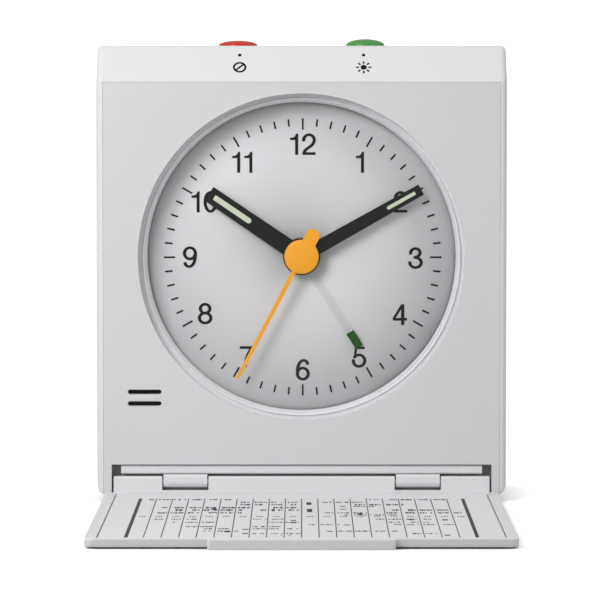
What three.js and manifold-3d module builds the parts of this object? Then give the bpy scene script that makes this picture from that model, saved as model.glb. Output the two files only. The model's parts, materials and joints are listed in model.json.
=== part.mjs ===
// Travel alarm clock with a hinged front cover, shown open: the cover lies flat in front of the case.
// Millimetres, +X right, +Y from the face to the back, +Z up. The face plane is Y = 0 inside the group,
// and the group is moved so that its origin is the centre of the footprint, on the table.
import * as THREE from "three";
import { mergeVertices } from "three/addons/utils/BufferGeometryUtils.js";
import Module from "manifold-3d";

const wasm = await Module();
wasm.setup();

// ---------------------------------------------------------------- driving dimensions

const GAP = 0.2; // working clearance between neighbouring parts
const FIT = 0.1; // clearance of a part that sits still in its seat
const OVER = 1; // how far a cutting tool runs past the face it cuts
const SHARP = 0.05; // a corner radius too small to see

const CASE = {
  halfWidth: 35,
  bottom: 1.25,
  top: 78,
  depth: 27,
  wall: 1.7,
  rim: 1.25, // rounding of the two upright front edges
  topCorner: 0.9,
  bottomCorner: 1.8,
  slantFoot: 71.8, // where the slanted strip above the panel begins
  slantDepth: 5.05, // how far back the strip reaches the flat top
  frontWall: 2,
  backPlate: 25.4, // inner face of the rear cover
};

const PANEL = { halfWidth: 33.8, thickness: 1, bottom: 1.35, top: 71.7 };

const DIAL = { z: 41.9, radius: 28.3, front: 4.95, back: 5.45, hole: 3.2 };
const WINDOW = { radius: 27.8, front: -0.1, back: 1.6, bevel: 0.5 };
const RING = {
  inner: 26.45,
  mouth: 26.5,
  outer: 28.1,
  flange: 29.8,
  front: 1.8,
  back: 4.75,
  flangeFront: 2.15,
  flangeBack: 3,
};
// The clear block that lights the dial, in a slot of the ring: degrees clockwise from 12.
const LIGHT = { from: 115.8, to: 150.4, front: 3.4, back: 4.6, inner: 26.7, outer: 28.6, slotInner: 25 };

const SLOT = { left: -29.7, right: -23.95, height: 0.8, rows: [16.9, 18.9] };

const RECESS = { halfWidth: 32.5, pocket: 30.9, top: 6.45, depth: 3.1, pocketDepth: 4.3, wall: 5.2 };
const HINGE = { y: 1.45, z: 3.5, barrel: 1.15, knuckle: 1.1, pin: 0.5, bore: 0.6, heel: 0.6, halfPin: 7 };
const KNUCKLE = { x: 19.9, width: 7.5, top: 4.95, corner: 0.45, notch: 7.9, floor: 2.2, root: 0.5 };
const COVER = {
  halfWidth: 33.5,
  hingeHalfWidth: 32.2,
  hingeFront: -1.5,
  under: 0.3,
  inner: 1.7,
  end: -66.85,
  root: -0.3,
  corner: 1.5,
  border: 1.85,
};
const TAB = { halfWidth: 14.5, end: -68.1, root: -64.6, corner: 0.8 };
const CARD = { front: -65.1, back: -2.2, floor: 1.35, bottom: 1.4, top: 1.65 };

const BUTTON = {
  x: 11,
  y: 11.5,
  radius: 3.35,
  shoulder: 0.4,
  flange: 4.3,
  flangeTop: 76.1,
  top: 79.2,
  stem: 74.7,
  stemRadius: 1.2,
};
const BOARD = { halfWidth: 17, front: 7.4, back: 19, bottom: 68.6, top: 69.5, rest: 4 };
const SWITCH = { half: 3, top: 73.1, plunger: 1.6, plungerTop: 73.7 };

const SCREW = {
  x: 31.2,
  low: 5.9,
  high: 72.6,
  head: 1.9,
  headFront: 26.2,
  headBack: 26.9,
  shank: 0.85,
  bore: 1,
  front: 18.5,
  boss: 3,
  bossFront: 14,
  cross: 1.2, // half length and half width of the cross in the head
  crossWidth: 0.2,
  crossFloor: 26.6,
};
const FOOT = { radius: 3.2, x: 27.5, front: 8.5, back: 22.5, socket: 0.4 };

const CELL = { radius: 7.1, left: -25.15, right: 24.15, tip: 25.15, tipRadius: 2.7, y: 17.2, z: 15.9 };
const CONTACT = {
  plus: 25.3,
  minus: -26.95,
  plate: 0.35,
  half: 5,
  wire: 0.2,
  turns: 2.5,
  wide: 4,
  narrow: 2.4,
};
const TUB = { halfWidth: 27.1, bottom: 8.3, top: 23.5, front: 9.9, wall: 0.8 };
const DOOR = { y: 26.2, z: 9.3, edge: 0.72, inner: 25.6, outer: 26.92, pin: 0.4, pinReach: 0.7 };
const THUMB = { radius: 2.2, halfWidth: 5, y: 28.7, below: 3.2 }; // hollow at the top of the battery door

const KNOB = {
  radius: 4.4,
  front: 22.6,
  back: 26.7,
  stem: 1.2,
  grips: 18,
  grip: 0.3,
  bore: 0.65,
  boreEnd: 20.5,
};
const KNOB_ARBOR = { radius: 0.5, end: 20.2 };
const POCKET = { x: 0.3, z: 47, halfWidth: 11.3, halfHeight: 5.7, front: 22.2, wall: 0.9 };

const MOVEMENT = { left: -13, right: 20.5, low: -15, high: 14, front: 5.6, plate: 0.8, rear: 15.2 };
const ARBOR = { radius: 0.3, hole: 0.45, front: 6, end: 15.6 };

// The wheel train: place of each arbor by its distance from the dial axis and its direction in
// degrees, counted from +X towards +Z, and the modules that give those centre distances.
const polar = (distance, degrees, from = { x: 0, z: 0 }) => ({
  x: from.x + distance * Math.cos(THREE.MathUtils.degToRad(degrees)),
  z: from.z + distance * Math.sin(THREE.MathUtils.degToRad(degrees)),
});
const TEETH = {
  rotor: 10,
  intermediate: 50,
  intermediatePinion: 10,
  seconds: 60,
  secondsPinion: 8,
  third: 60,
  thirdPinion: 8,
  centre: 64,
  cannon: 12,
  minute: 36,
  minutePinion: 10,
  hour: 40,
  alarmPinion: 20,
  alarm: 40,
};
const centreModule = (distance, a, b) => (2 * distance) / (a + b);
const REACH = { third: 7.2, intermediate: 7, rotor: 6, minute: 7.68, alarm: 7.5 };
const BEARING = { third: 250, intermediate: 330, rotor: 300, minute: 40, alarm: 135 };
const AXIS = { x: 0, z: 0 };
const THIRD = polar(REACH.third, BEARING.third);
const INTERMEDIATE = polar(REACH.intermediate, BEARING.intermediate);
const ROTOR = polar(REACH.rotor, BEARING.rotor, INTERMEDIATE);
const MINUTE = polar(REACH.minute, BEARING.minute);
const ALARM = polar(REACH.alarm, BEARING.alarm);
// front and back of each wheel, along Y
const LAYER = {
  alarm: [7, 7.5],
  alarmPinion: [6.9, 7.6],
  hour: [8, 8.5],
  minutePinion: [7.9, 8.6],
  minute: [9, 9.5],
  cannon: [8.9, 9.6],
  centre: [10.2, 10.7],
  thirdPinion: [10.1, 10.8],
  third: [11.4, 11.9],
  secondsPinion: [11.3, 12],
  seconds: [12.4, 12.9],
  intermediatePinion: [12.3, 13],
  intermediate: [13.6, 14.1],
  rotorPinion: [13.5, 14.2],
  magnet: [10.5, 13],
};
// Concentric tubes that carry the hands: outer radius and bore.
const TUBE = {
  second: { radius: 0.35 },
  minute: { radius: 0.85, bore: 0.5 },
  hour: { radius: 1.5, bore: 1 },
  alarm: { radius: 2.2, bore: 1.65 },
  bush: { radius: 2.95, bore: 2.35 },
};
const STATOR = {
  left: 5.4,
  right: 18.4,
  low: -12.3,
  high: -5.2,
  front: 11,
  back: 11.9,
  hole: 2.7,
  magnet: 2.2,
};
const COIL = {
  x: 16.4,
  y: 12.55,
  radius: 2.5,
  low: -4.8,
  high: 8.6,
  core: 1.1,
  coreFront: 12.05,
  coreBack: 13.05,
  lap: 1.2,
};

// Hands: clock angle, depth, length from the axis, widths at the axis and the tip, hub and bore.
const HAND = {
  alarm: { angle: 147.5, front: 4.2, back: 4.5, end: 15.3, root: 1.4, tip: 1.4, hub: 3, bore: 2.3 },
  hour: { angle: 304.1, front: 3.6, back: 3.9, end: 19.2, root: 2.95, tip: 2.8, hub: 3, bore: 1.6 },
  minute: { angle: 60.7, front: 3, back: 3.3, end: 23.5, root: 2.3, tip: 1.95, hub: 3.17, bore: 0.95 },
  second: { angle: 207.3, front: 2.35, back: 2.6, end: 23.6, root: 0.77, tip: 0.62, hub: 2.7, bore: 0.45 },
};
const SECOND_CAP = { radius: 2.95, front: 2.2, back: 2.5 }; // closes the second hand's bore in front
const SECOND_TAIL = { half: 1.2, end: -5.2, root: -2 };
const ALARM_MARK = { half: 0.71, start: 15.45, end: 18.5 };
// Luminous strips: how far they stand in front of their hand, how deep they are let in, and their ends.
const LUME = {
  proud: 0.14,
  hour: { start: 10.5, end: 18.1, half: 0.46 },
  minute: { start: 16.8, end: 22.3, half: 0.3 },
};
const BUZZER = { x: -26.8, z: 17.9, radius: 5.9, front: 2.3, back: 6.5, vent: 1 };
const LED = { reach: 30.2, radius: 1.3, front: 3.4, back: 8 };

// ---------------------------------------------------------------- solids

// sides of a circle
const FINE = 48;
const ROUND = 24;
const SMALL = 12;
const PIVOT = 8;
const ARC = 8; // sides of an arc in an outline

function toSolid(geometry) {
  const bare = geometry.clone();
  bare.deleteAttribute("normal");
  bare.deleteAttribute("uv");
  const merged = mergeVertices(bare, 1e-4);
  const vertProperties = new Float32Array(merged.attributes.position.array);
  const triVerts = new Uint32Array(merged.index.array);
  return new wasm.Manifold(new wasm.Mesh({ numProp: 3, vertProperties, triVerts }));
}

function toGeometry(solid) {
  const mesh = solid.getMesh();
  const geometry = new THREE.BufferGeometry();
  geometry.setAttribute("position", new THREE.BufferAttribute(mesh.vertProperties, 3));
  geometry.setIndex(new THREE.BufferAttribute(mesh.triVerts, 1));
  geometry.computeVertexNormals();
  return geometry;
}

const combine = (first, rest, how) =>
  toGeometry(rest.reduce((solid, tool) => solid[how](toSolid(tool)), toSolid(first)));
const join = (first, ...rest) => combine(first, rest, "add");
const cut = (first, ...rest) => combine(first, rest, "subtract");
const common = (first, ...rest) => combine(first, rest, "intersect");

function box([x0, x1], [y0, y1], [z0, z1]) {
  const geometry = new THREE.BoxGeometry(x1 - x0, y1 - y0, z1 - z0);
  return geometry.translate((x0 + x1) / 2, (y0 + y1) / 2, (z0 + z1) / 2);
}

// Round bars along each axis; drums run front to back.
function drum(radius, [y0, y1], x = 0, z = 0, sides = ROUND) {
  const geometry = new THREE.CylinderGeometry(radius, radius, y1 - y0, sides);
  return geometry.translate(x, (y0 + y1) / 2, z);
}
function barX(radius, [x0, x1], y, z, sides = SMALL) {
  const geometry = new THREE.CylinderGeometry(radius, radius, x1 - x0, sides).rotateZ(Math.PI / 2);
  return geometry.translate((x0 + x1) / 2, y, z);
}
function postZ(radius, [z0, z1], x, y, sides = ROUND) {
  const geometry = new THREE.CylinderGeometry(radius, radius, z1 - z0, sides).rotateX(Math.PI / 2);
  return geometry.translate(x, y, (z0 + z1) / 2);
}

// An outline drawn in X and Z, made thick from y0 to y1.
function slab(shape, [y0, y1], curveSegments = 6) {
  const options = { depth: y1 - y0, bevelEnabled: false, curveSegments };
  return new THREE.ExtrudeGeometry(shape, options).rotateX(Math.PI / 2).translate(0, y1, 0);
}

// An outline drawn in Y and Z, made wide from x0 to x1.
function section(shape, [x0, x1], curveSegments = 6) {
  const options = { depth: x1 - x0, bevelEnabled: false, curveSegments };
  const turn = new THREE.Matrix4().makeBasis(
    new THREE.Vector3(0, 1, 0),
    new THREE.Vector3(0, 0, 1),
    new THREE.Vector3(1, 0, 0),
  );
  return new THREE.ExtrudeGeometry(shape, options).applyMatrix4(turn).translate(x0, 0, 0);
}

// An outline drawn in X and Y, made high from z0 to z1.
function layer(shape, [z0, z1], curveSegments = 6) {
  const options = { depth: z1 - z0, bevelEnabled: false, curveSegments };
  return new THREE.ExtrudeGeometry(shape, options).translate(0, 0, z0);
}

const outline = (...points) => new THREE.Shape(points.map(([a, b]) => new THREE.Vector2(a, b)));

// A profile of [radius, y] points turned about the Y axis, or about an upright axis for posts.
function turned(points, sides = FINE) {
  const profile = points.map(([radius, height]) => new THREE.Vector2(radius, height));
  return new THREE.LatheGeometry(profile, sides);
}

// A rectangle with its own radius at the low pair and the high pair of corners.
function roundedRectangle([a0, a1], [b0, b1], lowRadius, highRadius) {
  const shape = new THREE.Shape();
  shape.moveTo(a0 + lowRadius, b0);
  shape.lineTo(a1 - lowRadius, b0);
  shape.absarc(a1 - lowRadius, b0 + lowRadius, lowRadius, -Math.PI / 2, 0);
  shape.lineTo(a1, b1 - highRadius);
  shape.absarc(a1 - highRadius, b1 - highRadius, highRadius, 0, Math.PI / 2);
  shape.lineTo(a0 + highRadius, b1);
  shape.absarc(a0 + highRadius, b1 - highRadius, highRadius, Math.PI / 2, Math.PI);
  shape.lineTo(a0, b0 + lowRadius);
  shape.absarc(a0 + lowRadius, b0 + lowRadius, lowRadius, Math.PI, 1.5 * Math.PI);
  return shape;
}

// Part of a flat ring, between two angles counted clockwise from 12 o'clock.
function ringSector(inner, outer, fromDegrees, toDegrees) {
  const start = Math.PI / 2 - THREE.MathUtils.degToRad(toDegrees);
  const end = Math.PI / 2 - THREE.MathUtils.degToRad(fromDegrees);
  const shape = new THREE.Shape();
  shape.absarc(0, 0, outer, start, end, false);
  shape.absarc(0, 0, inner, end, start, true);
  return shape;
}

// A spur wheel outline: pointed teeth, short enough at the tip to leave backlash.
function wheel(teeth, module, firstTooth, place, thickness) {
  const pitchRadius = (teeth * module) / 2;
  const tip = pitchRadius + 0.6 * module;
  const root = pitchRadius - 1.1 * module;
  const points = [];
  for (let i = 0; i < 2 * teeth; i++) {
    const angle = firstTooth + (i * Math.PI) / teeth;
    const radius = i % 2 ? root : tip;
    points.push([place.x + radius * Math.cos(angle), place.z + radius * Math.sin(angle)]);
  }
  return slab(outline(...points), thickness);
}

// Two wheels in mesh: a tooth of the first points at the second, between two of its teeth.
function meshingPair(first, second) {
  const module = centreModule(
    Math.hypot(second.place.x - first.place.x, second.place.z - first.place.z),
    first.teeth,
    second.teeth,
  );
  const towards = Math.atan2(second.place.z - first.place.z, second.place.x - first.place.x);
  return [
    wheel(first.teeth, module, towards, first.place, first.layer),
    wheel(second.teeth, module, towards + Math.PI + Math.PI / second.teeth, second.place, second.layer),
  ];
}

// ---------------------------------------------------------------- nodes

const FINISH = {
  white: { color: 0xe4e4e6, roughness: 0.4, metalness: 0 },
  silver: { color: 0xcfcfd1, roughness: 0.42, metalness: 0.6 },
  clear: { color: 0xf4f8fa, roughness: 0.05, metalness: 0, transparent: true, opacity: 0.25 },
  dial: { color: 0xd2d2d4, roughness: 0.5, metalness: 0.3 },
  black: { color: 0x161618, roughness: 0.45, metalness: 0 },
  lume: { color: 0xcdd5be, roughness: 0.7, metalness: 0 },
  yellow: { color: 0xde972f, roughness: 0.4, metalness: 0 },
  green: { color: 0x4f9a52, roughness: 0.35, metalness: 0 },
  darkGreen: { color: 0x204813, roughness: 0.4, metalness: 0 },
  red: { color: 0xaf351e, roughness: 0.35, metalness: 0 },
  steel: { color: 0xb8babd, roughness: 0.3, metalness: 0.9 },
  brass: { color: 0xc9a350, roughness: 0.35, metalness: 0.9 },
  copper: { color: 0xb56a3a, roughness: 0.4, metalness: 0.8 },
  nylon: { color: 0xf0efe8, roughness: 0.5, metalness: 0 },
  board: { color: 0x2f6b3a, roughness: 0.6, metalness: 0 },
  card: { color: 0xdcdcde, roughness: 0.6, metalness: 0 },
  rubber: { color: 0x2b2b2c, roughness: 0.85, metalness: 0 },
  cell: { color: 0x3a3d42, roughness: 0.35, metalness: 0.4 },
};

const clock = new THREE.Group();
const face = new THREE.Group(); // everything on or behind the dial, about the dial axis
face.position.z = DIAL.z;
clock.add(face);

function add(name, geometry, finish, parent = clock, turn = 0) {
  const mesh = new THREE.Mesh(geometry, new THREE.MeshStandardMaterial(FINISH[finish]));
  mesh.name = name;
  mesh.rotation.y = THREE.MathUtils.degToRad(turn);
  parent.add(mesh);
}

// ---------------------------------------------------------------- case

const full = [-CASE.halfWidth, CASE.halfWidth];
const soundSlots = (depth) =>
  SLOT.rows.map((z) => {
    const radius = SLOT.height / 2;
    const height = [z - radius, z + radius];
    return slab(roundedRectangle([SLOT.left, SLOT.right], height, radius * 0.99, radius * 0.99), depth, 3);
  });

function caseBody() {
  const fromFront = slab(
    roundedRectangle(full, [CASE.bottom, CASE.top], CASE.bottomCorner, CASE.topCorner),
    [0, CASE.depth],
  );
  const fromSide = section(
    outline(
      [0, CASE.bottom],
      [CASE.depth, CASE.bottom],
      [CASE.depth, CASE.top],
      [CASE.slantDepth, CASE.top],
      [0, CASE.slantFoot],
    ),
    full,
  );
  const fromTop = layer(roundedRectangle(full, [0, CASE.depth], CASE.rim, CASE.rim / 2), [0, CASE.top]);
  return common(fromFront, fromSide, fromTop);
}

function caseCavity() {
  const inner = CASE.halfWidth - CASE.wall;
  const rise = CASE.top - CASE.slantFoot;
  const length = Math.hypot(rise, CASE.slantDepth);
  // the inner face of the slanted strip, a wall thickness below it
  const drop = (CASE.wall * length) / CASE.slantDepth;
  const slantY = (z) => ((z - CASE.slantFoot + drop) * CASE.slantDepth) / rise;
  const slantZ = (y) => CASE.slantFoot + (y * rise) / CASE.slantDepth - drop;
  const ceiling = CASE.top - CASE.wall;
  return section(
    outline(
      [CASE.frontWall, RECESS.top + CASE.wall],
      [RECESS.wall, RECESS.top + CASE.wall],
      [RECESS.wall, CASE.bottom + CASE.wall],
      [CASE.depth + OVER, CASE.bottom + CASE.wall],
      [CASE.depth + OVER, ceiling],
      [slantY(ceiling), ceiling],
      [CASE.frontWall, slantZ(CASE.frontWall)],
    ),
    [-inner, inner],
  );
}

const screwPlaces = [
  [-SCREW.x, SCREW.low],
  [SCREW.x, SCREW.low],
  [-SCREW.x, SCREW.high],
  [SCREW.x, SCREW.high],
];
const footPlaces = [
  [-FOOT.x, FOOT.front],
  [FOOT.x, FOOT.front],
  [-FOOT.x, FOOT.back],
  [FOOT.x, FOOT.back],
];
const buttonPlaces = [-BUTTON.x, BUTTON.x];

function knuckle(side) {
  const centre = side * KNUCKLE.x;
  const width = [centre - KNUCKLE.width / 2, centre + KNUCKLE.width / 2];
  const front = HINGE.y - HINGE.knuckle;
  const shape = new THREE.Shape();
  shape.moveTo(RECESS.depth + KNUCKLE.root, KNUCKLE.top);
  shape.lineTo(front + KNUCKLE.corner, KNUCKLE.top);
  shape.absarc(front + KNUCKLE.corner, KNUCKLE.top - KNUCKLE.corner, KNUCKLE.corner, Math.PI / 2, Math.PI);
  shape.absarc(HINGE.y, HINGE.z, HINGE.knuckle, Math.PI, 1.5 * Math.PI);
  shape.lineTo(RECESS.depth + KNUCKLE.root, HINGE.z - HINGE.knuckle);
  return section(shape, width);
}

function caseShell() {
  const bosses = screwPlaces.map(([x, z]) =>
    common(
      drum(SCREW.boss, [SCREW.bossFront, CASE.backPlate - GAP], x, z),
      box([-CASE.halfWidth + 1, CASE.halfWidth - 1], [0, CASE.depth], [0, CASE.top - 1]),
    ),
  );
  const shell = join(cut(caseBody(), caseCavity()), ...bosses);
  const boreDepth = [SCREW.front - OVER, CASE.depth + OVER];
  const bores = screwPlaces.map(([x, z]) => drum(SCREW.bore, boreDepth, x, z, SMALL));
  const panelSeat = box(
    [-PANEL.halfWidth - FIT, PANEL.halfWidth + FIT],
    [-OVER, PANEL.thickness + FIT],
    [0, CASE.slantFoot],
  );
  const windowHole = drum(RING.outer + GAP, [-OVER, CASE.frontWall + OVER], 0, DIAL.z, FINE);
  const hingeRecess = box(
    [-RECESS.halfWidth, RECESS.halfWidth],
    [-OVER, RECESS.depth],
    [0, RECESS.top],
  );
  const pockets = [-1, 1].map((side) => {
    const ends = [side * RECESS.pocket, side * RECESS.halfWidth].sort((a, b) => a - b);
    return box(ends, [0, RECESS.pocketDepth], [0, RECESS.top]);
  });
  const buttonHoles = buttonPlaces.map((x) =>
    postZ(BUTTON.radius + GAP, [CASE.top - 2 * CASE.wall, CASE.top + OVER], x, BUTTON.y),
  );
  const sockets = footPlaces.map(([x, y]) =>
    postZ(FOOT.radius + FIT, [0, CASE.bottom + FOOT.socket], x, y),
  );
  const hollow = cut(
    shell,
    ...bores,
    panelSeat,
    windowHole,
    hingeRecess,
    ...pockets,
    ...buttonHoles,
    ...sockets,
    ...soundSlots([-OVER, CASE.frontWall + OVER]),
  );
  const pinBores = [-1, 1].map((side) => {
    const centre = side * KNUCKLE.x;
    return barX(HINGE.bore, [centre - KNUCKLE.width, centre + KNUCKLE.width], HINGE.y, HINGE.z);
  });
  return cut(join(hollow, knuckle(-1), knuckle(1)), ...pinBores);
}

function frontPanel() {
  const plate = slab(
    outline(
      [-PANEL.halfWidth, PANEL.bottom],
      [-RECESS.halfWidth, PANEL.bottom],
      [-RECESS.halfWidth, RECESS.top],
      [RECESS.halfWidth, RECESS.top],
      [RECESS.halfWidth, PANEL.bottom],
      [PANEL.halfWidth, PANEL.bottom],
      [PANEL.halfWidth, PANEL.top],
      [-PANEL.halfWidth, PANEL.top],
    ),
    [0, PANEL.thickness],
  );
  const opening = drum(WINDOW.radius + GAP, [-OVER, CASE.frontWall], 0, DIAL.z, FINE);
  return cut(plate, opening, ...soundSlots([-OVER, CASE.frontWall]));
}

// The rear cover carries the battery tub, the knob pocket and the shelf under the circuit board.
function rearCover() {
  const inner = CASE.halfWidth - CASE.wall - GAP;
  const plate = box(
    [-inner, inner],
    [CASE.backPlate, CASE.depth],
    [CASE.bottom + CASE.wall + GAP, CASE.top - CASE.wall - GAP],
  );
  const tub = box(
    [-TUB.halfWidth - TUB.wall, TUB.halfWidth + TUB.wall],
    [TUB.front - TUB.wall, CASE.backPlate + GAP],
    [TUB.bottom - TUB.wall, TUB.top + TUB.wall],
  );
  const tubSpace = box(
    [-TUB.halfWidth, TUB.halfWidth],
    [TUB.front, CASE.depth + OVER],
    [TUB.bottom, TUB.top],
  );
  const pocket = (spare, depth) =>
    box(
      [POCKET.x - POCKET.halfWidth - spare, POCKET.x + POCKET.halfWidth + spare],
      depth,
      [POCKET.z - POCKET.halfHeight - spare, POCKET.z + POCKET.halfHeight + spare],
    );
  const pocketWalls = pocket(POCKET.wall, [POCKET.front - POCKET.wall, CASE.backPlate + GAP]);
  const pocketSpace = pocket(0, [POCKET.front, CASE.depth + OVER]);
  const shelf = box(
    [-BOARD.halfWidth, BOARD.halfWidth],
    [BOARD.back - BOARD.rest, CASE.backPlate + GAP],
    [BOARD.bottom - FIT - CASE.wall, BOARD.bottom - FIT],
  );
  const body = join(plate, tub, pocketWalls, shelf);
  const shafts = [MINUTE, ALARM].map(({ x, z }) =>
    drum(KNOB.stem + GAP, [POCKET.front - 2 * POCKET.wall, CASE.depth], x, DIAL.z + z, SMALL),
  );
  const screwHoles = screwPlaces.flatMap(([x, z]) => [
    drum(SCREW.shank + GAP, [CASE.backPlate - OVER, CASE.depth + OVER], x, z, SMALL),
    drum(SCREW.head + GAP, [SCREW.headFront - FIT, CASE.depth + OVER], x, z),
  ]);
  const pinHoles = barX(
    DOOR.pin + FIT,
    [-TUB.halfWidth - DOOR.pinReach, TUB.halfWidth + DOOR.pinReach],
    DOOR.y,
    DOOR.z,
  );
  return cut(body, tubSpace, pocketSpace, ...shafts, ...screwHoles, pinHoles);
}

function batteryDoor() {
  const top = TUB.top - GAP;
  const shape = new THREE.Shape();
  shape.moveTo(DOOR.outer, top);
  shape.lineTo(DOOR.inner, top);
  shape.lineTo(DOOR.y - DOOR.edge + FIT, DOOR.z);
  shape.absarc(DOOR.y, DOOR.z, DOOR.edge, Math.PI, 2 * Math.PI);
  const half = TUB.halfWidth - GAP;
  const leaf = section(shape, [-half, half]);
  const pins = barX(DOOR.pin, [-half - DOOR.pinReach, half + DOOR.pinReach], DOOR.y, DOOR.z);
  const thumbWidth = [-THUMB.halfWidth, THUMB.halfWidth];
  const thumbNotch = barX(THUMB.radius, thumbWidth, THUMB.y, top - THUMB.below, ROUND);
  return cut(join(leaf, pins), thumbNotch);
}

add("case_shell", caseShell(), "white");
add("front_panel", frontPanel(), "silver");
add("rear_cover", rearCover(), "white");
add("battery_door", batteryDoor(), "white");
screwPlaces.forEach(([x, z], i) => {
  const shank = drum(SCREW.shank, [SCREW.front, SCREW.headBack - FIT], x, z, SMALL);
  const head = drum(SCREW.head, [SCREW.headFront, SCREW.headBack], x, z);
  const span = (middle, half) => [middle - half, middle + half];
  const depth = [SCREW.crossFloor, CASE.depth];
  const slots = [
    box(span(x, SCREW.cross), depth, span(z, SCREW.crossWidth)),
    box(span(x, SCREW.crossWidth), depth, span(z, SCREW.cross)),
  ];
  add(`case_screw_${i + 1}`, cut(join(shank, head), ...slots), "steel");
});
footPlaces.forEach(([x, y], i) => {
  add(`foot_${i + 1}`, postZ(FOOT.radius, [0, CASE.bottom + FOOT.socket - FIT], x, y), "rubber");
});

// ---------------------------------------------------------------- window and dial

add(
  "crystal",
  turned([
    [0, WINDOW.front],
    [WINDOW.radius - WINDOW.bevel, WINDOW.front],
    [WINDOW.radius, WINDOW.front + WINDOW.bevel],
    [WINDOW.radius, WINDOW.back],
    [0, WINDOW.back],
  ]),
  "clear",
  face,
);

function dialRing() {
  const ring = turned([
    [RING.inner, RING.back],
    [RING.mouth, RING.front],
    [RING.outer, RING.front],
    [RING.outer, RING.flangeFront],
    [RING.flange, RING.flangeFront],
    [RING.flange, RING.flangeBack],
    [RING.outer, RING.flangeBack],
    [RING.outer, RING.back],
    [RING.inner, RING.back],
  ]);
  const sector = ringSector(LIGHT.slotInner, LIGHT.outer, LIGHT.from, LIGHT.to);
  const opening = slab(sector, [LIGHT.front, RING.back + OVER], ARC);
  return cut(ring, opening);
}
add("dial_ring", dialRing(), "white", face);
add(
  "light_guide",
  slab(
    ringSector(LIGHT.inner, LIGHT.outer, LIGHT.from + 1, LIGHT.to - 1),
    [LIGHT.front + FIT, LIGHT.back],
    ARC,
  ),
  "clear",
  face,
);
add(
  "dial",
  turned([
    [DIAL.hole, DIAL.front],
    [DIAL.radius, DIAL.front],
    [DIAL.radius, DIAL.back],
    [DIAL.hole, DIAL.back],
    [DIAL.hole, DIAL.front],
  ]),
  "dial",
  face,
);
const lightMiddle = polar(LED.reach, 90 - (LIGHT.from + LIGHT.to) / 2);
add("light_led", drum(LED.radius, [LED.front, LED.back], lightMiddle.x, lightMiddle.z), "clear", face);

// ---------------------------------------------------------------- hands

// A straight hand that points up, with a hub and a bore.
function hand({ front, back, end, root, tip, hub, bore }) {
  const arm = slab(outline([-root / 2, 0], [root / 2, 0], [tip / 2, end], [-tip / 2, end]), [front, back]);
  return cut(join(arm, drum(hub, [front, back])), drum(bore, [front - OVER, back + OVER]));
}

// The second hand has a drop-shaped tail, and a cap over the end of its arbor.
function secondHand() {
  const { front, back } = HAND.second;
  const tail = roundedRectangle(
    [-SECOND_TAIL.half, SECOND_TAIL.half],
    [SECOND_TAIL.end, SECOND_TAIL.root],
    SECOND_TAIL.half - SHARP,
    SHARP,
  );
  const cap = drum(SECOND_CAP.radius, [SECOND_CAP.front, SECOND_CAP.back - FIT / 2], 0, 0, FINE);
  const hubSpace = drum(HAND.second.hub - FIT, [front - OVER, back + OVER]);
  const tailPiece = cut(slab(tail, [front, back], ARC), hubSpace);
  return join(hand(HAND.second), tailPiece, cap);
}

// A luminous strip on the front of a hand: square at the tip, rounded towards the axis.
function lumeStrip({ front }, { start, end, half }) {
  const shape = roundedRectangle([-half, half], [start, end], half - SHARP / 4, SHARP);
  return slab(shape, [front - LUME.proud, front - 0.02], 4);
}

const alarmMark = [
  [-ALARM_MARK.half, ALARM_MARK.start],
  [ALARM_MARK.half, ALARM_MARK.start],
  [ALARM_MARK.half, ALARM_MARK.end],
  [-ALARM_MARK.half, ALARM_MARK.end],
];
const alarmTip = slab(outline(...alarmMark), [HAND.alarm.front, HAND.alarm.back]);
add("alarm_hand", hand(HAND.alarm), "clear", face, HAND.alarm.angle);
add("alarm_hand_tip", alarmTip, "darkGreen", face, HAND.alarm.angle);
add("hour_hand", hand(HAND.hour), "black", face, HAND.hour.angle);
add("hour_hand_lume", lumeStrip(HAND.hour, LUME.hour), "lume", face, HAND.hour.angle);
add("minute_hand", hand(HAND.minute), "black", face, HAND.minute.angle);
add("minute_hand_lume", lumeStrip(HAND.minute, LUME.minute), "lume", face, HAND.minute.angle);
add("second_hand", secondHand(), "yellow", face, HAND.second.angle);

// ---------------------------------------------------------------- movement

const arbor = (place, { end, radius } = ARBOR) => drum(radius, [ARBOR.front, end], place.x, place.z, PIVOT);
const [rotorPinion, intermediateWheel] = meshingPair(
  { teeth: TEETH.rotor, place: ROTOR, layer: LAYER.rotorPinion },
  { teeth: TEETH.intermediate, place: INTERMEDIATE, layer: LAYER.intermediate },
);
const [intermediatePinion, secondsWheel] = meshingPair(
  { teeth: TEETH.intermediatePinion, place: INTERMEDIATE, layer: LAYER.intermediatePinion },
  { teeth: TEETH.seconds, place: AXIS, layer: LAYER.seconds },
);
const [secondsPinion, thirdWheel] = meshingPair(
  { teeth: TEETH.secondsPinion, place: AXIS, layer: LAYER.secondsPinion },
  { teeth: TEETH.third, place: THIRD, layer: LAYER.third },
);
const [thirdPinion, centreWheel] = meshingPair(
  { teeth: TEETH.thirdPinion, place: THIRD, layer: LAYER.thirdPinion },
  { teeth: TEETH.centre, place: AXIS, layer: LAYER.centre },
);
const [cannonPinion, minuteWheel] = meshingPair(
  { teeth: TEETH.cannon, place: AXIS, layer: LAYER.cannon },
  { teeth: TEETH.minute, place: MINUTE, layer: LAYER.minute },
);
const [minutePinion, hourWheel] = meshingPair(
  { teeth: TEETH.minutePinion, place: MINUTE, layer: LAYER.minutePinion },
  { teeth: TEETH.hour, place: AXIS, layer: LAYER.hour },
);
const [alarmPinion, alarmWheel] = meshingPair(
  { teeth: TEETH.alarmPinion, place: ALARM, layer: LAYER.alarmPinion },
  { teeth: TEETH.alarm, place: AXIS, layer: LAYER.alarm },
);
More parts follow.
